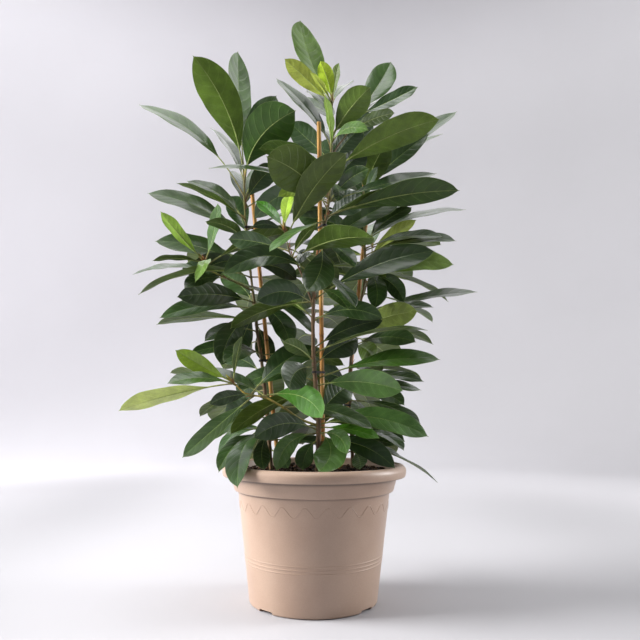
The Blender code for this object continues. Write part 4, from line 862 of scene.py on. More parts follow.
def tie_mesh(cane, shoot, height, steps):
    """A flat band round the cane and the stem, square to the cane."""
    on_cane, along, on_stem, stem_r = tie_frame(cane, shoot, height)
    across = on_stem - on_cane
    across = across - across.dot(along) * along
    span = across.length
    across.normalize()
    other = along.cross(across)
    inner = []
    for centre, reach, start in ((0.0, CANE_R + GAP, 90.0), (span, stem_r + TIE_PLAY, -90.0)):
        for k in range(steps):
            angle = math.radians(start + 180.0 * k / (steps - 1))
            inner.append((centre + reach * math.cos(angle), reach * math.sin(angle),
                          math.cos(angle), math.sin(angle)))
    verts = []
    for level in (-TIE_HEIGHT / 2, TIE_HEIGHT / 2):
        for grow in (0.0, TIE_THICKNESS):
            for x, y, nx, ny in inner:
                verts.append(on_cane + across * (x + grow * nx) + other * (y + grow * ny)
                             + along * level)
    n = len(inner)
    faces = []
    for k in range(n):
        j = (k + 1) % n
        faces += [[k, j, n + j, n + k], [2 * n + k, 3 * n + k, 3 * n + j, 2 * n + j],
                  [k, 2 * n + k, 2 * n + j, j], [n + k, n + j, 3 * n + j, 3 * n + k]]
    return verts, faces


def linear(colour):
    """The scene-linear colour of an sRGB one."""
    shares = [c / 255.0 for c in colour]
    return tuple(s / 12.92 if s <= 0.04045 else ((s + 0.055) / 1.055) ** 2.4 for s in shares)


def blend(a, b, share):
    """A colour or other tuple that lies between two."""
    return tuple(p + (q - p) * share for p, q in zip(a, b))


def clamp(value, low=0.0, high=1.0):
    return max(low, min(high, value))


# Procedural materials
class Surface:
    """A material that is built up node by node."""

    def __init__(self, name, roughness, **sockets):
        self.made = bpy.data.materials.new(name)
        self.made.use_nodes = True
        self.tree = self.made.node_tree
        self.shader = self.tree.nodes["Principled BSDF"]
        self.shader.inputs["Roughness"].default_value = roughness
        for socket, value in sockets.items():
            self.shader.inputs[socket.replace("_", " ")].default_value = value

    def node(self, kind, inputs, **settings):
        made = self.tree.nodes.new("ShaderNode" + kind)
        for key, value in settings.items():
            setattr(made, key, value)
        for key, value in inputs.items():
            if isinstance(value, bpy.types.NodeSocket):
                self.tree.links.new(value, made.inputs[key])
            else:
                made.inputs[key].default_value = value
        return made

    def place(self, stretch=(1.0, 1.0, 1.0)):
        """Points in the object's own metres, stretched."""
        spot = self.node("TexCoord", {}).outputs["Object"]
        return self.node("Mapping", {"Vector": spot, "Scale": stretch}).outputs[0]

    def attribute(self, name, output="Color"):
        return self.node("Attribute", {}, attribute_name=name).outputs[output]

    def split(self, vector):
        return self.node("SeparateXYZ", {0: vector}).outputs

    def sum(self, operation, *values):
        inputs = dict(enumerate(values))
        return self.node("Math", inputs, operation=operation).outputs[0]

    def noise(self, scale, detail=3.0, spot=None):
        spot = spot or self.place()
        inputs = {"Vector": spot, "Scale": scale, "Detail": detail}
        return self.node("TexNoise", inputs).outputs[0]

    def ease(self, value, start, end, low=0.0, high=1.0):
        """The value's share of the way from start to end, eased at both, from low to high."""
        inputs = {0: value, 1: start, 2: end, 3: low, 4: high}
        return self.node("MapRange", inputs, interpolation_type="SMOOTHSTEP").outputs[0]

    def mix(self, share, a, b, blend_type="MIX"):
        a, b = ((*c, 1.0) if isinstance(c, tuple) and len(c) == 3 else c for c in (a, b))
        inputs = {0: share, 6: a, 7: b}
        return self.node("Mix", inputs, data_type="RGBA", blend_type=blend_type).outputs[2]

    def shade(self, colour, share):
        """The colour made lighter or darker by a share that runs round 1."""
        grey = self.node("CombineColor", {0: share, 1: share, 2: share}).outputs[0]
        return self.mix(1.0, colour, grey, "MULTIPLY")

    def far(self, x, y):
        """The distance of a point from the axis, from its two offsets."""
        squares = self.sum("ADD", self.sum("POWER", x, 2.0), self.sum("POWER", y, 2.0))
        return self.sum("POWER", squares, 0.5)

    def paint_shade_below(self, colour, z, level, depth, dark):
        """Painted shade: the colour made dark just below a level, as shade gathers under a step
        that overhangs it.
        """
        below = self.ease(z, level - depth, level)
        above = self.ease(z, level + PAINTED_SHADE_FADE, level)
        near = self.sum("MULTIPLY", below, above)
        return self.shade(colour, self.ease(near, 0.0, 1.0, 1.0, dark))

    def finish(self, colour, height=None, depth=0.001, roughness=None):
        self.tree.links.new(colour, self.shader.inputs["Base Color"])
        if roughness is not None:
            self.tree.links.new(roughness, self.shader.inputs["Roughness"])
        if height is not None:
            bump = self.node("Bump", {"Height": height, "Distance": depth, "Strength": 1.0})
            self.tree.links.new(bump.outputs[0], self.shader.inputs["Normal"])
        return self.made


def vein_lines(surface, along, across):
    """0 between the side veins and 1 on them: they leave the midrib and bend to the tip."""
    away = surface.sum("ABSOLUTE", across)
    lean = surface.sum("MULTIPLY", away, 0.09)
    bend = surface.sum("MULTIPLY", surface.sum("POWER", away, 2.5), 0.07)
    start = surface.sum("SUBTRACT", surface.sum("SUBTRACT", along, lean), bend)
    wave = surface.sum("PINGPONG", surface.sum("MULTIPLY", start, VEIN_PAIRS), 0.5)
    line = surface.ease(wave, 0.085, 0.0)
    inside = surface.ease(away, 0.99, 0.80)
    return surface.sum("MULTIPLY", line, inside), wave


def leaf_surface(name, upper):
    """Leaf skin: its tone with veins, a midrib, a pale margin and small blotches."""
    gloss = {"Coat_Weight": 0.50, "Coat_Roughness": 0.18} if upper else {}
    skin = Surface(name, 0.34 if upper else 0.48, **gloss)
    along, across, chance = skin.split(skin.attribute("place", "Vector"))
    to_rib, to_margin, half = skin.split(skin.attribute("edges", "Vector"))
    tone = skin.attribute("tone")
    veins, wave = vein_lines(skin, along, across)
    blotch = skin.noise(38.0, 4.0)
    fine = skin.noise(420.0, 3.0)
    tone = skin.shade(tone, skin.ease(blotch, 0.30, 0.70, 0.80, 1.22))
    tone = skin.shade(tone, skin.ease(fine, 0.30, 0.70, 0.93, 1.07))
    pale = skin.mix(0.5, tone, linear((176, 190, 110)))
    vein_share = 0.06 if upper else 0.12
    tone = skin.mix(skin.sum("MULTIPLY", veins, vein_share), tone, pale)
    tone = skin.shade(tone, skin.ease(wave, 0.0, 0.5, 1.04, 0.97))
    rib = skin.ease(to_rib, 1.0, 0.35)
    rib_pale = linear((112, 136, 72) if upper else (132, 144, 80))
    tone = skin.mix(skin.sum("MULTIPLY", rib, 0.30 if upper else 0.45), tone, rib_pale)
    margin = skin.ease(to_margin, 0.60, 0.10)
    tone = skin.mix(skin.sum("MULTIPLY", margin, 0.32), tone, linear((150, 166, 92)))
    lift = skin.sum("MULTIPLY", veins, -0.35 if upper else 0.7)
    quilt = skin.sum("MULTIPLY", wave, 0.95 if upper else -0.9)
    grain = skin.sum("MULTIPLY", fine, 0.35)
    height = skin.sum("ADD", skin.sum("ADD", lift, quilt), grain)
    rough = skin.ease(blotch, 0.25, 0.75, 0.31, 0.43) if upper else None
    return skin.finish(tone, height, 0.0005, rough)


def stalk_surface():
    skin = Surface("leaf_stalk", 0.45)
    tone = skin.shade(skin.attribute("tone"), skin.ease(skin.noise(300.0), 0.3, 0.7, 0.82, 1.18))
    return skin.finish(tone, skin.noise(900.0), 0.0002)


def bark_surface():
    skin = Surface("bark", 0.62)
    streak = skin.noise(160.0, 5.0, skin.place((1.0, 1.0, 0.18)))
    patch = skin.noise(45.0, 4.0)
    tone = skin.shade(skin.attribute("tone"), skin.ease(streak, 0.3, 0.7, 0.68, 1.30))
    tone = skin.mix(skin.ease(patch, 0.52, 0.68, 0.0, 0.45), tone, linear((128, 116, 92)))
    return skin.finish(tone, streak, 0.0006)


def stipule_surface():
    skin = Surface("stipule", 0.55)
    streak = skin.noise(420.0, 3.0, skin.place((1.0, 1.0, 0.3)))
    tone = skin.shade(skin.attribute("tone"), skin.ease(streak, 0.3, 0.7, 0.62, 1.35))
    return skin.finish(tone, streak, 0.0003)


def bamboo_surface():
    skin = Surface("bamboo", 0.38, Coat_Weight=0.15, Coat_Roughness=0.25)
    streak = skin.noise(260.0, 5.0, skin.place((1.0, 1.0, 0.035)))
    patch = skin.noise(26.0, 4.0)
    tone = skin.attribute("tone")
    tone = skin.shade(tone, skin.ease(streak, 0.3, 0.7, 0.80, 1.20))
    tone = skin.mix(skin.ease(patch, 0.50, 0.72, 0.0, 0.5), tone, linear((132, 84, 40)))
    return skin.finish(tone, streak, 0.0003)


def band_surface():
    skin = Surface("band", 0.55)
    grain = skin.noise(900.0, 3.0)
    tone = skin.mix(skin.ease(grain, 0.3, 0.7), linear((30, 28, 26)), linear((52, 49, 45)))
    return skin.finish(tone, grain, 0.0002)


def pot_surface():
    skin = Surface("pot_plastic", 0.42, Coat_Weight=0.30, Coat_Roughness=0.36)
    cloud = skin.noise(9.0, 4.0)
    speck = skin.noise(700.0, 2.0)
    tone = skin.mix(skin.ease(cloud, 0.35, 0.65), linear((169, 142, 123)), linear((177, 151, 132)))
    tone = skin.shade(tone, skin.ease(speck, 0.25, 0.75, 0.955, 1.035))
    height = skin.split(skin.place())[2]
    # Painted shade under the rim's overhang and under the collar's step
    tone = skin.paint_shade_below(tone, height, RIM_LOW_Z, 0.008, 0.40)
    tone = skin.paint_shade_below(tone, height, BODY_TOP_Z, 0.005, 0.60)
    rough = skin.ease(cloud, 0.30, 0.70, 0.38, 0.47)
    return skin.finish(tone, speck, 0.00012, rough)


def peat_surface():
    skin = Surface("peat", 0.95)
    lump = skin.noise(220.0, 5.0)
    tone = skin.mix(skin.ease(lump, 0.35, 0.68), linear((24, 17, 13)), linear((74, 54, 40)))
    return skin.finish(tone, lump, 0.003)


def crumb_surface():
    skin = Surface("peat_crumb", 0.92)
    grain = skin.noise(700.0, 4.0)
    tone = skin.shade(skin.attribute("tone"), skin.ease(grain, 0.3, 0.7, 0.6, 1.4))
    return skin.finish(tone, grain, 0.0008)


# The backdrop's colour carries painted light and painted shade that shape and even out the lamps'
# light on it
def studio_surface():
    skin = Surface("studio", 0.75)
    x, y, z = skin.split(skin.place())
    # Painted light: lighter on the left, the key lamp's side, and darker towards the right
    across = skin.ease(x, -2.6, 2.6)
    tone = skin.mix(across, linear((242, 240, 245)), linear((190, 189, 192)))
    # Painted shade: darker towards the front, where the camera stands
    tone = skin.shade(tone, skin.ease(y, -2.4, -0.9, 0.26, 0.86))
    # Painted shade near the pot and painted light further out
    away = skin.far(x, y)
    tone = skin.shade(tone, skin.ease(away, 0.8, 2.6, 0.70, 1.08))
    # Painted shade on the floor left of the pot, where the key lamp's light pools, and a lighter
    # painted shade right of the pot
    left_shade_mask = skin.sum("MULTIPLY", skin.ease(x, -0.1, -1.0), skin.ease(away, 2.8, 1.6))
    tone = skin.shade(tone, skin.ease(left_shade_mask, 0.0, 1.0, 1.0, 0.66))
    right_shade_mask = skin.sum("MULTIPLY", skin.ease(x, 0.25, 0.9), skin.ease(away, 2.2, 0.9))
    tone = skin.shade(tone, skin.ease(right_shade_mask, 0.0, 1.0, 1.0, 0.86))
    # Painted shade under the key lamp, where its light falls brightest
    key_pool_distance = skin.far(skin.sum("ADD", x, 2.4), y)
    tone = skin.shade(tone, skin.ease(key_pool_distance, 0.3, 1.6, 0.50, 1.0))
    # Painted shade up the middle of the wall and painted light at its top, where the lamps reach
    # less
    tone = skin.shade(tone, skin.ease(z, 0.9, 2.2, 1.0, 0.94))
    tone = skin.shade(tone, skin.ease(z, 2.2, 3.6, 1.0, 1.30))
    tone = skin.shade(tone, skin.ease(skin.noise(1.5, 2.0), 0.3, 0.7, 0.99, 1.01))
    return skin.finish(tone)


# Meshes that carry a tone and a place at every point
class Growth:
    """Gathers shapes, then makes them one object."""

    def __init__(self):
        self.verts = []
        self.faces = []
        self.skins = []
        self.places = []
        self.edges = []
        self.tones = []

    def add(self, verts, faces, skins, tones, places=None, edges=None):
        start = len(self.verts)
        count = len(verts)
        self.verts += verts
        self.faces += [[start + k for k in face] for face in faces]
        self.skins += skins if isinstance(skins, list) else [skins] * len(faces)
        self.tones += tones if isinstance(tones, list) else [tones] * count
        self.places += places or [(0.0, 0.0, 0.0)] * count
        self.edges += edges or [(9.0, 9.0, 9.0)] * count

    def make(self, name, surfaces, sharp=50.0):
        made = add_object(name, self.verts, self.faces)
        for surface in surfaces:
            made.data.materials.append(surface)
        made.data.polygons.foreach_set("material_index", self.skins)
        kinds = (("place", "FLOAT_VECTOR", "vector", self.places, 3),
                 ("edges", "FLOAT_VECTOR", "vector", self.edges, 3),
                 ("tone", "FLOAT_COLOR", "color", self.tones, 4))
        for key, kind, field, rows, size in kinds:
            layer = made.data.attributes.new(key, kind, "POINT")
            flat = [x for row in rows for x in (*row, 1.0)[:size]]
            layer.data.foreach_set(field, flat)
        smooth(made, sharp)
        return made


def ring_faces(rows, count, closed=False):
    """Quads between rings of count points, with a cap at each end unless the rings close."""
    faces = []
    pairs = [(i, (i + 1) % rows) for i in range(rows if closed else rows - 1)]
    for low, high in pairs:
        for k in range(count):
            j = (k + 1) % count
            faces.append([low * count + k, low * count + j, high * count + j, high * count + k])
    if not closed:
        faces.append(list(range(count))[::-1])
        faces.append([(rows - 1) * count + k for k in range(count)])
    return faces


# Leaves
def blade_half(leaf, s):
    """The blade's half width in metres at share s of its length, with a short drip tip."""
    body = leaf.half_width * outline(s / TIP_SHARE)
    drip = TIP_HALF * clamp((1.0 - s) / (1.0 - TIP_SHARE)) ** 0.8 if s > 0.5 else 0.0005
    return max(body, drip, 0.00005)


def blade_shares():
    """Shares of the blade's length, closer together towards both ends."""
    shares = []
    for i in range(BLADE_ROWS):
        even = i / (BLADE_ROWS - 1)
        eased = 0.5 - 0.5 * math.cos(math.pi * even)
        shares.append(0.45 * even + 0.55 * eased)
    return shares


def fine_blade(leaf, chance):
    """One blade: a folded, gently waved sheet with a groove over its midrib."""
    fold = FOLD * chance.uniform(0.8, 1.15)
    curl = chance.uniform(0.0, 0.07)
    waves = chance.uniform(1.6, 2.8)
    phase = chance.uniform(0.0, 2.0 * math.pi)
    luck = chance.random()
    verts = []
    places = []
    edges = []
    for s in blade_shares():
        t = leaf.stalk + (1.0 - leaf.stalk) * s
        _, up, side = leaf.frame(t)
        half = blade_half(leaf, s)
        centre = leaf.midrib(t)
        taper = clamp(half / 0.012) * clamp((1.0 - s) / 0.15)
        for face, row in ((1.0, BLADE_ACROSS), (-1.0, BLADE_ACROSS[::-1])):
            for v in row:
                away = abs(v)
                lift = half * (fold * away ** 1.25 - curl * away ** 5)
                swing = 2.0 * math.pi * waves * s + phase + (1.7 if v > 0 else 0.0)
                lift += WAVE * taper * away ** 2 * math.sin(swing)
                thick = BLADE_HALF_THICK + (EDGE_HALF_THICK - BLADE_HALF_THICK) * away
                groove = RIB_GROOVE * taper * max(0.0, 1.0 - away / 0.08) if face > 0 else 0.0
                verts.append(centre + half * v * side + (lift + face * thick - groove) * up)
                places.append((s, v, luck))
                edges.append((1000.0 * half * away, 1000.0 * half * (1.0 - away), half))
    count = 2 * len(BLADE_ACROSS)
    faces = ring_faces(BLADE_ROWS, count)
    top = len(BLADE_ACROSS) - 1
    skins = [0 if i % count < top else 1 for i in range(len(faces))]
    return verts, faces, skins, places, edges


def fine_stalk(leaf):
    """The stalk, which runs on under the blade as its raised midrib."""
    last = leaf.stalk + (1.0 - leaf.stalk) * 0.93
    verts = []
    greens = []
    for i in range(MIDRIB_ROWS):
        t = last * i / (MIDRIB_ROWS - 1)
        along, up, side = leaf.frame(t)
        blade = clamp((t - leaf.stalk) / (1.0 - leaf.stalk))
        flare = 0.45 * clamp(1.0 - t / 0.05)
        radius = STALK_R * (0.86 + flare) if blade == 0.0 else 0.0013 * (1.0 - blade) ** 0.9
        radius = max(radius, 0.00025)
        centre = leaf.midrib(t) - up * (0.75 * radius * clamp(blade * 8.0))
        for k in range(MIDRIB_SIDES):
            angle = 2.0 * math.pi * k / MIDRIB_SIDES
            verts.append(centre + radius * (math.cos(angle) * side + math.sin(angle) * up))
        greens += [clamp(0.15 + 0.85 * t / (leaf.stalk + 0.12))] * MIDRIB_SIDES
    return verts, ring_faces(MIDRIB_ROWS, MIDRIB_SIDES), greens


def leaf_tones(tone, chance):
    """The two faces' colours, with a small draw of their own."""
    upper, under = (linear(c) for c in TONES[tone])
    depth = chance.uniform(0.86, 1.16)
    warmth = chance.uniform(0.92, 1.10)
    return [(r * depth * warmth, g * depth, b * depth) for r, g, b in (upper, under)]


def add_leaf(growth, leaf, tone, chance):
    upper, under = leaf_tones(tone, chance)
    verts, faces, skins, places, edges = fine_blade(leaf, chance)
    across = len(BLADE_ACROSS)
    tones = [upper if i % (2 * across) < across else under for i in range(len(verts))]
    growth.add(verts, faces, skins, tones, places, edges)
    verts, faces, greens = fine_stalk(leaf)
    brown = linear((92, 66, 42))
    rib = blend(under, linear((168, 182, 106)), 0.72)
    growth.add(verts, faces, 2, [blend(brown, rib, g) for g in greens])


# Stems, buds and stipules
def fine_route(shoot):
    """The shoot's own curve in close steps, with its radii."""
    _, foot, tip, points = SHOOTS[shoot.name]
    route = smooth_route([at_depth(*p) for p in points], 16)
    if shoot.name in ("left", "middle", "right"):
        buried = route[0].copy()
        buried.z = SOIL_TOP_Z - 0.02
        route.insert(0, buried)
    last = len(route) - 1
    radii = [0.001 * (foot + (tip - foot) * i / last) for i in range(last + 1)]
    return route, radii


def make_stem(shoot, roots, surface):
    """A stem with a swelling where each leaf grows from it."""
    route, radii = fine_route(shoot)
    sides = 14
    swollen = []
    for point, radius in zip(route, radii):
        near = min(((point - root).length for root in roots), default=1.0)
        swollen.append(radius * (1.0 + 0.22 * math.exp(-(near / 0.003) ** 2)))
    verts, faces = tube(route, swollen, sides)
    tones = []
    old, fresh = STEM_TONES.get(shoot.name, STEM_TONES["left"])
    for i in range(len(route)):
        share = i / (len(route) - 1)
        young = clamp((share - 0.35) / 0.65)
        tone = blend(linear(old), linear(fresh), young)
        tones += [tone] * sides
    growth = Growth()
    growth.add(verts, faces, 0, tones)
    return growth.make(f"stem_{shoot.name}", [surface])


def scale_mesh(root, along, out, length, half):
    """A papery pointed scale that leans out from its root."""
    verts = []
    side = along.cross(out).normalized()
    rows = 7
    for i in range(rows):
        s = i / (rows - 1)
        width = max(0.0001, half * (1.0 - s ** 1.6) * (0.55 + 0.9 * s * (1.0 - s)))
        centre = root + along * (length * s) + out * (length * (0.10 + 0.42 * s * s))
        up = (out - 0.4 * along).normalized()
        for angle in (0, 60, 120, 180, 240, 300):
            turn = math.radians(angle)
            curl = 0.35 * width * math.cos(turn) ** 2
            verts.append(centre + side * (width * math.cos(turn))
                         + up * (0.00028 * math.sin(turn) - curl))
    return verts, ring_faces(rows, 6)


def shoot_direction(shoot, point):
    """The way that the shoot runs at a point on it."""
    route = shoot.route
    best = min(range(len(route) - 1), key=lambda i: (
        (route[i] + route[i + 1]) / 2 - point).length)
    return (route[best + 1] - route[best]).normalized()


def make_stipules(shoot, placed, surface, seed):
    """The pointed bud at the tip and the dry scales beside young leaves."""
    chance = random.Random(seed)
    growth = Growth()
    end = shoot.route[-1]
    along = (shoot.route[-1] - shoot.route[-2]).normalized()
    steps = 9
    length = 0.019
    route = [end + along * (length * (i / (steps - 1) - 0.12)) for i in range(steps)]
    radii = [0.0021 * math.sin(math.pi * min(1.0, 0.30 + 0.70 * i / (steps - 1))) ** 0.8 + 0.0002
             for i in range(steps)]
    verts, faces = tube(route, radii, 10)
    tones = []
    for i in range(steps):
        tones += [blend(linear((120, 62, 36)), linear((158, 160, 72)), i / (steps - 1))] * 10
    growth.add(verts, faces, 0, tones)
    low = shoot.route[0].z
    high = end.z
    for leaf in placed:
        share = (leaf.root.z - low) / (high - low)
        if chance.random() > 0.25 + 0.6 * share:
            continue
        along = shoot_direction(shoot, leaf.root)
        out = (leaf.control - leaf.root) - (leaf.control - leaf.root).dot(along) * along
        out = Matrix.Rotation(chance.uniform(-0.9, 0.9), 3, along) @ out.normalized()
        root = leaf.root + out * 0.0012 + along * 0.002
        size = chance.uniform(0.009, 0.016)
        tone = linear(blend((116, 58, 34), (150, 96, 58), chance.random()))
        growth.add(*scale_mesh(root, along, out, size, 0.0021), 0, tone)
    return growth.make(f"stipules_{shoot.name}", [surface])


# Canes and ties
def make_cane(name, surface, seed):
    """A split-smooth cane with a ridge and a dark line at each of its joints."""
    chance = random.Random(seed)
    foot, top = cane_route(name)
    along = (top - foot).normalized()
    start = (SOIL_TOP_Z - 0.02 - foot.z) / along.z
    length = (top - foot).length - start
    joints = []
    at = chance.uniform(0.02, 0.05)
    while at < length - 0.01:
        joints.append(at)
        at += chance.uniform(0.085, 0.125)
    rows = int(length / 0.003)
    sides = 20
    route = []
    radii = []
    tones = []
    pale = linear((206, 158, 88))
    tan = linear((176, 120, 60))
    dark = linear((84, 52, 28))
    for i in range(rows + 1):
        reach = length * i / rows
        route.append(foot + along * (start + reach))
        near = min(joints, key=lambda j: abs(j - reach))
        ridge = math.exp(-((reach - near) / 0.0022) ** 2)
        groove = math.exp(-((reach - near + 0.0038) / 0.0016) ** 2)
        radii.append(CANE_R * (0.97 + 0.13 * ridge - 0.03 * groove))
        tone = blend(blend(tan, pale, clamp(0.5 + 0.5 * math.sin(reach * 41.0 + seed))), dark,
                     0.75 * groove)
        tones += [tone] * sides
    route += [route[-1] + along * 0.0006, route[-1] + along * 0.0007, route[-1] - along * 0.003]
    radii += [0.85 * CANE_R, 0.45 * CANE_R, 0.30 * CANE_R]
    tones += [pale] * sides + [dark] * (2 * sides)
    verts, faces = tube_straight(route, radii, sides, along)
    growth = Growth()
    growth.add(verts, faces, 0, tones)
    return growth.make(name.replace("cane", "bamboo"), [surface])


def tube_straight(route, radii, sides, along):
    """A tube whose rings all lie square to one direction."""
    across = Vector((1.0, 0.0, 0.0))
    across = (across - across.dot(along) * along).normalized()
    other = along.cross(across)
    verts = []
    for point, radius in zip(route, radii):
        for k in range(sides):
            angle = 2 * math.pi * k / sides
            verts.append(point + radius * (math.cos(angle) * across + math.sin(angle) * other))
    return verts, ring_faces(len(route), sides)


# Pot and peat
def rounded(profile, radius, steps=4):
    """The profile with its corners rounded."""
    points = [Vector(p) for p in profile]
    out = [profile[0]]
    for a, b, c in zip(points, points[1:], points[2:]):
        into = (b - a).normalized()
        onto = (c - b).normalized()
        if into.dot(onto) > 0.985 or b.x == 0.0:
            out.append(tuple(b))
            continue
        cut = min(radius, 0.4 * (b - a).length, 0.4 * (c - b).length)
        start = b - into * cut
        end = b + onto * cut
        for i in range(steps + 1):
            t = i / steps
            out.append(tuple((1 - t) ** 2 * start + 2 * t * (1 - t) * b + t ** 2 * end))
    return out + [profile[-1]]


def make_pot(surface):
    under = [(0.0, 0.0), (PAD_R, 0.0), (PAD_R, FOOT_Z), (FOOT_IN_R, FOOT_Z), (FOOT_IN_R, 0.0)]
    mouth = [(MOUTH_R + MOUTH_EDGE, RIM_TOP_Z), (MOUTH_R - MOUTH_EDGE, RIM_TOP_Z - MOUTH_EDGE)]
    inside = inner_profile()[::-1]
    profile = under + outer_profile() + mouth + inside + [(0.0, FLOOR_TOP_Z)]
    pot = add_object("pot_shell", *turned(rounded(profile, EDGE_ROUND), POT_SIDES), surface)
    apply_boolean(pot, [notch(i, a) for i, a in enumerate(NOTCH_AZIMUTHS)], "DIFFERENCE")
    apply_boolean(pot, [drain(i) for i in range(DRAINS)], "DIFFERENCE")
    smooth(pot)
    return pot


def zigzag_height(step):
    """How far up the band the line is, 0 to 1, at a step round the pot."""
    share = abs(step / ZIGZAG_STEPS % 1.0 - 0.5) * 2.0
    return clamp((share - ZIGZAG_FLAT_SHARE) / (1.0 - 2.0 * ZIGZAG_FLAT_SHARE))


def zigzag_point(step):
    slope = (BODY_TOP_R - BASE_R) / BODY_TOP_Z
    z = ZIGZAG_LOW_Z + (ZIGZAG_TOP_Z - ZIGZAG_LOW_Z) * zigzag_height(step)
    turn = math.radians(ZIGZAG_TOP_AZIMUTH + 360.0 / ZIGZAGS * step / ZIGZAG_STEPS)
    r = BASE_R + slope * z
    out = Vector((math.sin(turn), -math.cos(turn), -slope)).normalized()
    return Vector((r * math.sin(turn), -r * math.cos(turn), z)), out


def make_zigzag(surface):
    """A low rounded line, raised from the wall, that runs up and down round the pot."""
    count = ZIGZAGS * ZIGZAG_STEPS
    section = ((-1.0, -ZIGZAG_SUNK), (-0.62, 0.62 * ZIGZAG_PROUD), (0.0, ZIGZAG_PROUD),
               (0.62, 0.62 * ZIGZAG_PROUD), (1.0, -ZIGZAG_SUNK))
    verts = []
    for step in range(count):
        point, out = zigzag_point(step)
        along = (zigzag_point(step + 0.5)[0] - zigzag_point(step - 0.5)[0]).normalized()
        across = out.cross(along).normalized()
        verts += [point + across * (x * ZIGZAG_HALF) + out * y for x, y in section]
    zigzag = add_object("pot_zigzag", verts, ring_faces(count, len(section), True), surface)
    smooth(zigzag, 60.0)
    return zigzag


def soil_height(x, y):
    """The lumpy top of the peat."""
    spot = Vector((x, y, 0.0))
    return (SOIL_TOP_Z + 0.0015 + 0.0035 * noise.noise(spot * 34.0)
            + 0.0022 * noise.noise(spot * 95.0) + 0.0010 * noise.noise(spot * 260.0))


def soil_edge(low):
    """The soil's radius at its top, where the pot flares from the low point to its mouth."""
    low_r, low_z = low
    high_r = MOUTH_R - MOUTH_EDGE - GAP
    high_z = RIM_TOP_Z - MOUTH_EDGE
    return low_r + (high_r - low_r) * (SOIL_TOP_Z - low_z) / (high_z - low_z)


def make_soil(surface):
    wall = inner_profile(GAP)
    edge_r = soil_edge(wall[-1])
    rings = SOIL_FINE_RINGS
    profile = [(0.0, FLOOR_TOP_Z + GAP)] + wall + [(edge_r, SOIL_TOP_Z - 0.002)]
    profile += [(edge_r * (1.0 - i / rings), SOIL_TOP_Z) for i in range(rings + 1)]
    verts, faces = turned(profile, SOIL_FINE_SIDES)
    for v in verts:
        if v.z >= SOIL_TOP_Z:
            v.z = soil_height(v.x, v.y)
    soil = add_object("peat_bed", verts, faces, surface)
    smooth(soil, 60.0)
    return soil


def crumb_mesh(centre, size, chance):
    """A small rough grain."""
    turn = Matrix.Rotation(chance.uniform(0.0, 6.28), 3, "Z") @ Matrix.Rotation(
        chance.uniform(0.0, 3.14), 3, "X")
    long = chance.uniform(0.8, 1.9)
    verts = []
    for z, reach, twist in ((-0.55, 0.8, 0.0), (0.5, 0.85, 0.6)):
        for k in range(5):
            angle = 2.0 * math.pi * k / 5 + twist
            r = size * reach * chance.uniform(0.75, 1.2)
            verts.append(centre + turn @ Vector((long * r * math.cos(angle), r * math.sin(angle),
                                                 size * z * chance.uniform(0.8, 1.2))))
    verts.append(centre + turn @ Vector((0.0, 0.0, -0.95 * size)))
    verts.append(centre + turn @ Vector((0.0, 0.0, 0.9 * size)))
    faces = [[k, (k + 1) % 5, 5 + (k + 1) % 5, 5 + k] for k in range(5)]
    faces += [[10, (k + 1) % 5, k] for k in range(5)]
    faces += [[11, 5 + k, 5 + (k + 1) % 5] for k in range(5)]
    return verts, faces


def make_crumbs(surface):
    chance = random.Random(77)
    growth = Growth()
    for _ in range(CRUMBS):
        turn = chance.uniform(0.0, 2.0 * math.pi)
        r = 0.1385 * math.sqrt(chance.random())
        x = r * math.cos(turn)
        y = r * math.sin(turn)
        size = 0.0008 + 0.0030 * chance.random() ** 2.5
        centre = Vector((x, y, soil_height(x, y) + 0.25 * size))
        pale = chance.random()
        tone = linear(blend((34, 24, 18), (104, 78, 56), pale ** 3))
        growth.add(*crumb_mesh(centre, size, chance), 0, tone)
    return growth.make("peat_crumbs", [surface], 30.0)


# Light, floor and camera
def add_light(name, spot, aim, size, power, spread=180.0, shine=True):
    lamp = bpy.data.lights.new(name, "AREA")
    lamp.shape = "RECTANGLE"
    lamp.size, lamp.size_y = size
    lamp.energy = power
    lamp.spread = math.radians(spread)
    made = bpy.data.objects.new(name, lamp)
    made.location = spot
    made.rotation_euler = (Vector(aim) - Vector(spot)).to_track_quat("-Z", "Y").to_euler()
    made.visible_camera = False
    made.visible_glossy = shine
    bpy.context.scene.collection.objects.link(made)


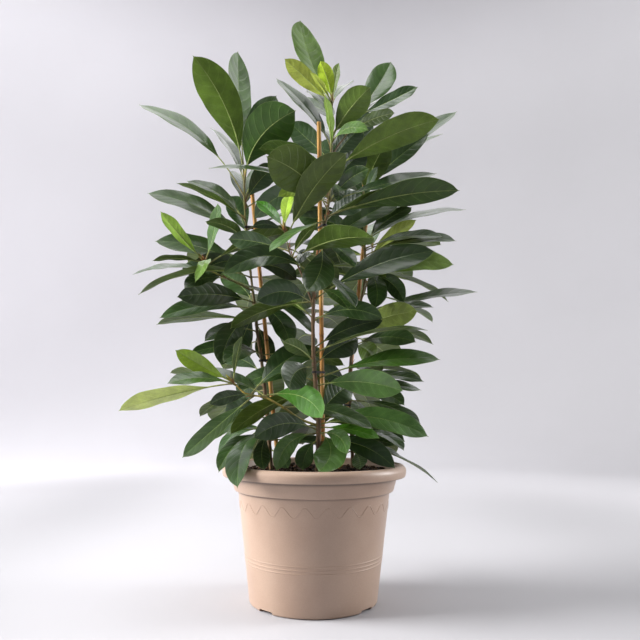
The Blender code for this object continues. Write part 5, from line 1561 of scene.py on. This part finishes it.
def make_studio():
    """A round floor that bends up into a wall, lamps and a pale sky."""
    profile = [(0.0, 0.0), (0.5, 0.0), (1.5, 0.0), (2.6, 0.0)]
    bend = 1.4
    for i in range(1, 13):
        turn = math.radians(90.0 * i / 12)
        profile.append((2.6 + bend * math.sin(turn), bend - bend * math.cos(turn)))
    profile.append((4.0, 5.0))
    verts, faces = turned(profile, 96)
    mesh = bpy.data.meshes.new("studio_floor")
    mesh.from_pydata([tuple(v) for v in verts], [], faces)
    mesh.materials.append(studio_surface())
    floor = bpy.data.objects.new("studio_floor", mesh)
    floor.location.z = -0.0004
    bpy.context.scene.collection.objects.link(floor)
    smooth(floor)

    world = bpy.data.worlds.new("sky")
    world.use_nodes = True
    sky = world.node_tree.nodes["Background"]
    sky.inputs["Color"].default_value = (0.96, 0.96, 1.0, 1.0)
    sky.inputs["Strength"].default_value = 0.06
    bpy.context.scene.world = world
    add_light("key", (-2.9, -0.15, 1.75), (0.0, 0.0, 0.45), (1.7, 2.2), 118.0, 125.0, False)
    add_light("key_shine", (-2.9, -0.15, 1.75), (0.0, 0.0, 0.45), (1.7, 2.2), 38.0, 125.0)
    add_light("side", (2.7, 0.45, 1.4), (0.0, 0.0, 0.4), (1.0, 2.0), 36.0, 125.0)
    add_light("back", (0.1, 1.4, 2.7), (0.0, 0.0, 0.8), (3.0, 1.8), 20.0)
    add_light("above", (-0.2, -0.3, 2.4), (0.0, 0.0, 0.4), (1.4, 1.0), 19.0)
    for turn in (-64, 0, 64):
        out = Vector((math.sin(math.radians(turn)), math.cos(math.radians(turn)), 0.0))
        up = Vector((0.0, 0.0, 1.0))
        add_light(f"wash_{turn}", 1.4 * out + 2.9 * up, 4.0 * out + 2.2 * up, (1.6, 0.5), 34.0)


def make_camera():
    lens = bpy.data.cameras.new("camera")
    lens.lens = 36.0
    lens.sensor_width = 36.0
    camera = bpy.data.objects.new("camera", lens)
    pitch = Matrix.Rotation(math.pi / 2 + CAMERA_PITCH, 4, "X")
    roll = Matrix.Rotation(CAMERA_ROLL, 4, "Z")
    camera.matrix_world = Matrix.Translation(VIEW_POINT) @ pitch @ roll
    bpy.context.scene.collection.objects.link(camera)
    bpy.context.scene.camera = camera


def seat(piece, slot, *nodes):
    """The piece moves with the one body and stands for these nodes."""
    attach(piece, "root")
    if nodes:
        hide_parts(*nodes)


def obstacle(node):
    """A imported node's points and faces."""
    mesh = frame["nodes"][node].data
    return [v.co.copy() for v in mesh.vertices], [list(p.vertices) for p in mesh.polygons]


def place_leaves(shoots):
    """Every leaf with the shoot that it grows from and its tone, as the solids have them."""
    crowd = Crowd()
    for node in ("pot", "soil"):
        crowd.add(node, node, *obstacle(node))
    for name in CANES:
        crowd.add(name, "cane", *cane_mesh(name))
    for name, (cane, shoot, height) in TIES.items():
        crowd.add(name, "tie", *tie_mesh(cane, shoots[shoot], height, 5))
    for shoot in shoots.values():
        crowd.add(shoot.plant, "stem", *shoot.mesh())
    placed = []
    place_shown_leaves(shoots, crowd, placed)
    place_hidden_leaves(shoots, crowd, placed)
    return placed


def make_foliage(shoots, placed):
    surfaces = [leaf_surface("leaf_upper", True), leaf_surface("leaf_under", False),
                stalk_surface()]
    bark = bark_surface()
    papery = stipule_surface()
    for number, (name, shoot) in enumerate(shoots.items()):
        chance = random.Random(100 + number)
        growth = Growth()
        own = [(leaf, tone) for owner, leaf, tone in placed if owner == name]
        for leaf, tone in own:
            add_leaf(growth, leaf, tone, chance)
        seat(growth.make(f"foliage_{name}", surfaces), "foliage", shoot.plant)
        leaves = [leaf for leaf, _ in own]
        roots = [leaf.root for leaf in leaves]
        seat(make_stem(shoot, roots, bark), "foliage", shoot.plant)
        seat(make_stipules(shoot, leaves, papery, 200 + number), "foliage", shoot.plant)


def build():
    shoots = {name: Shoot(name) for name in SHOOTS}
    make_foliage(shoots, place_leaves(shoots))
    bamboo = bamboo_surface()
    for seed, name in enumerate(CANES):
        seat(make_cane(name, bamboo, seed), "bamboo", name)
    band = band_surface()
    for name, (cane, shoot, height) in TIES.items():
        shape = tie_mesh(cane, shoots[shoot], height, 17)
        tie = add_object(name.replace("tie", "band"), *shape, band)
        smooth(tie)
        seat(tie, "band", name)
    plastic = pot_surface()
    seat(make_pot(plastic), "pot_plastic", "pot")
    seat(make_zigzag(plastic), "pot_plastic")
    seat(make_soil(peat_surface()), "peat", "soil")
    seat(make_crumbs(crumb_surface()), "peat")
    make_studio()
    make_camera()
    bpy.context.scene.view_settings.view_transform = "Standard"


build()
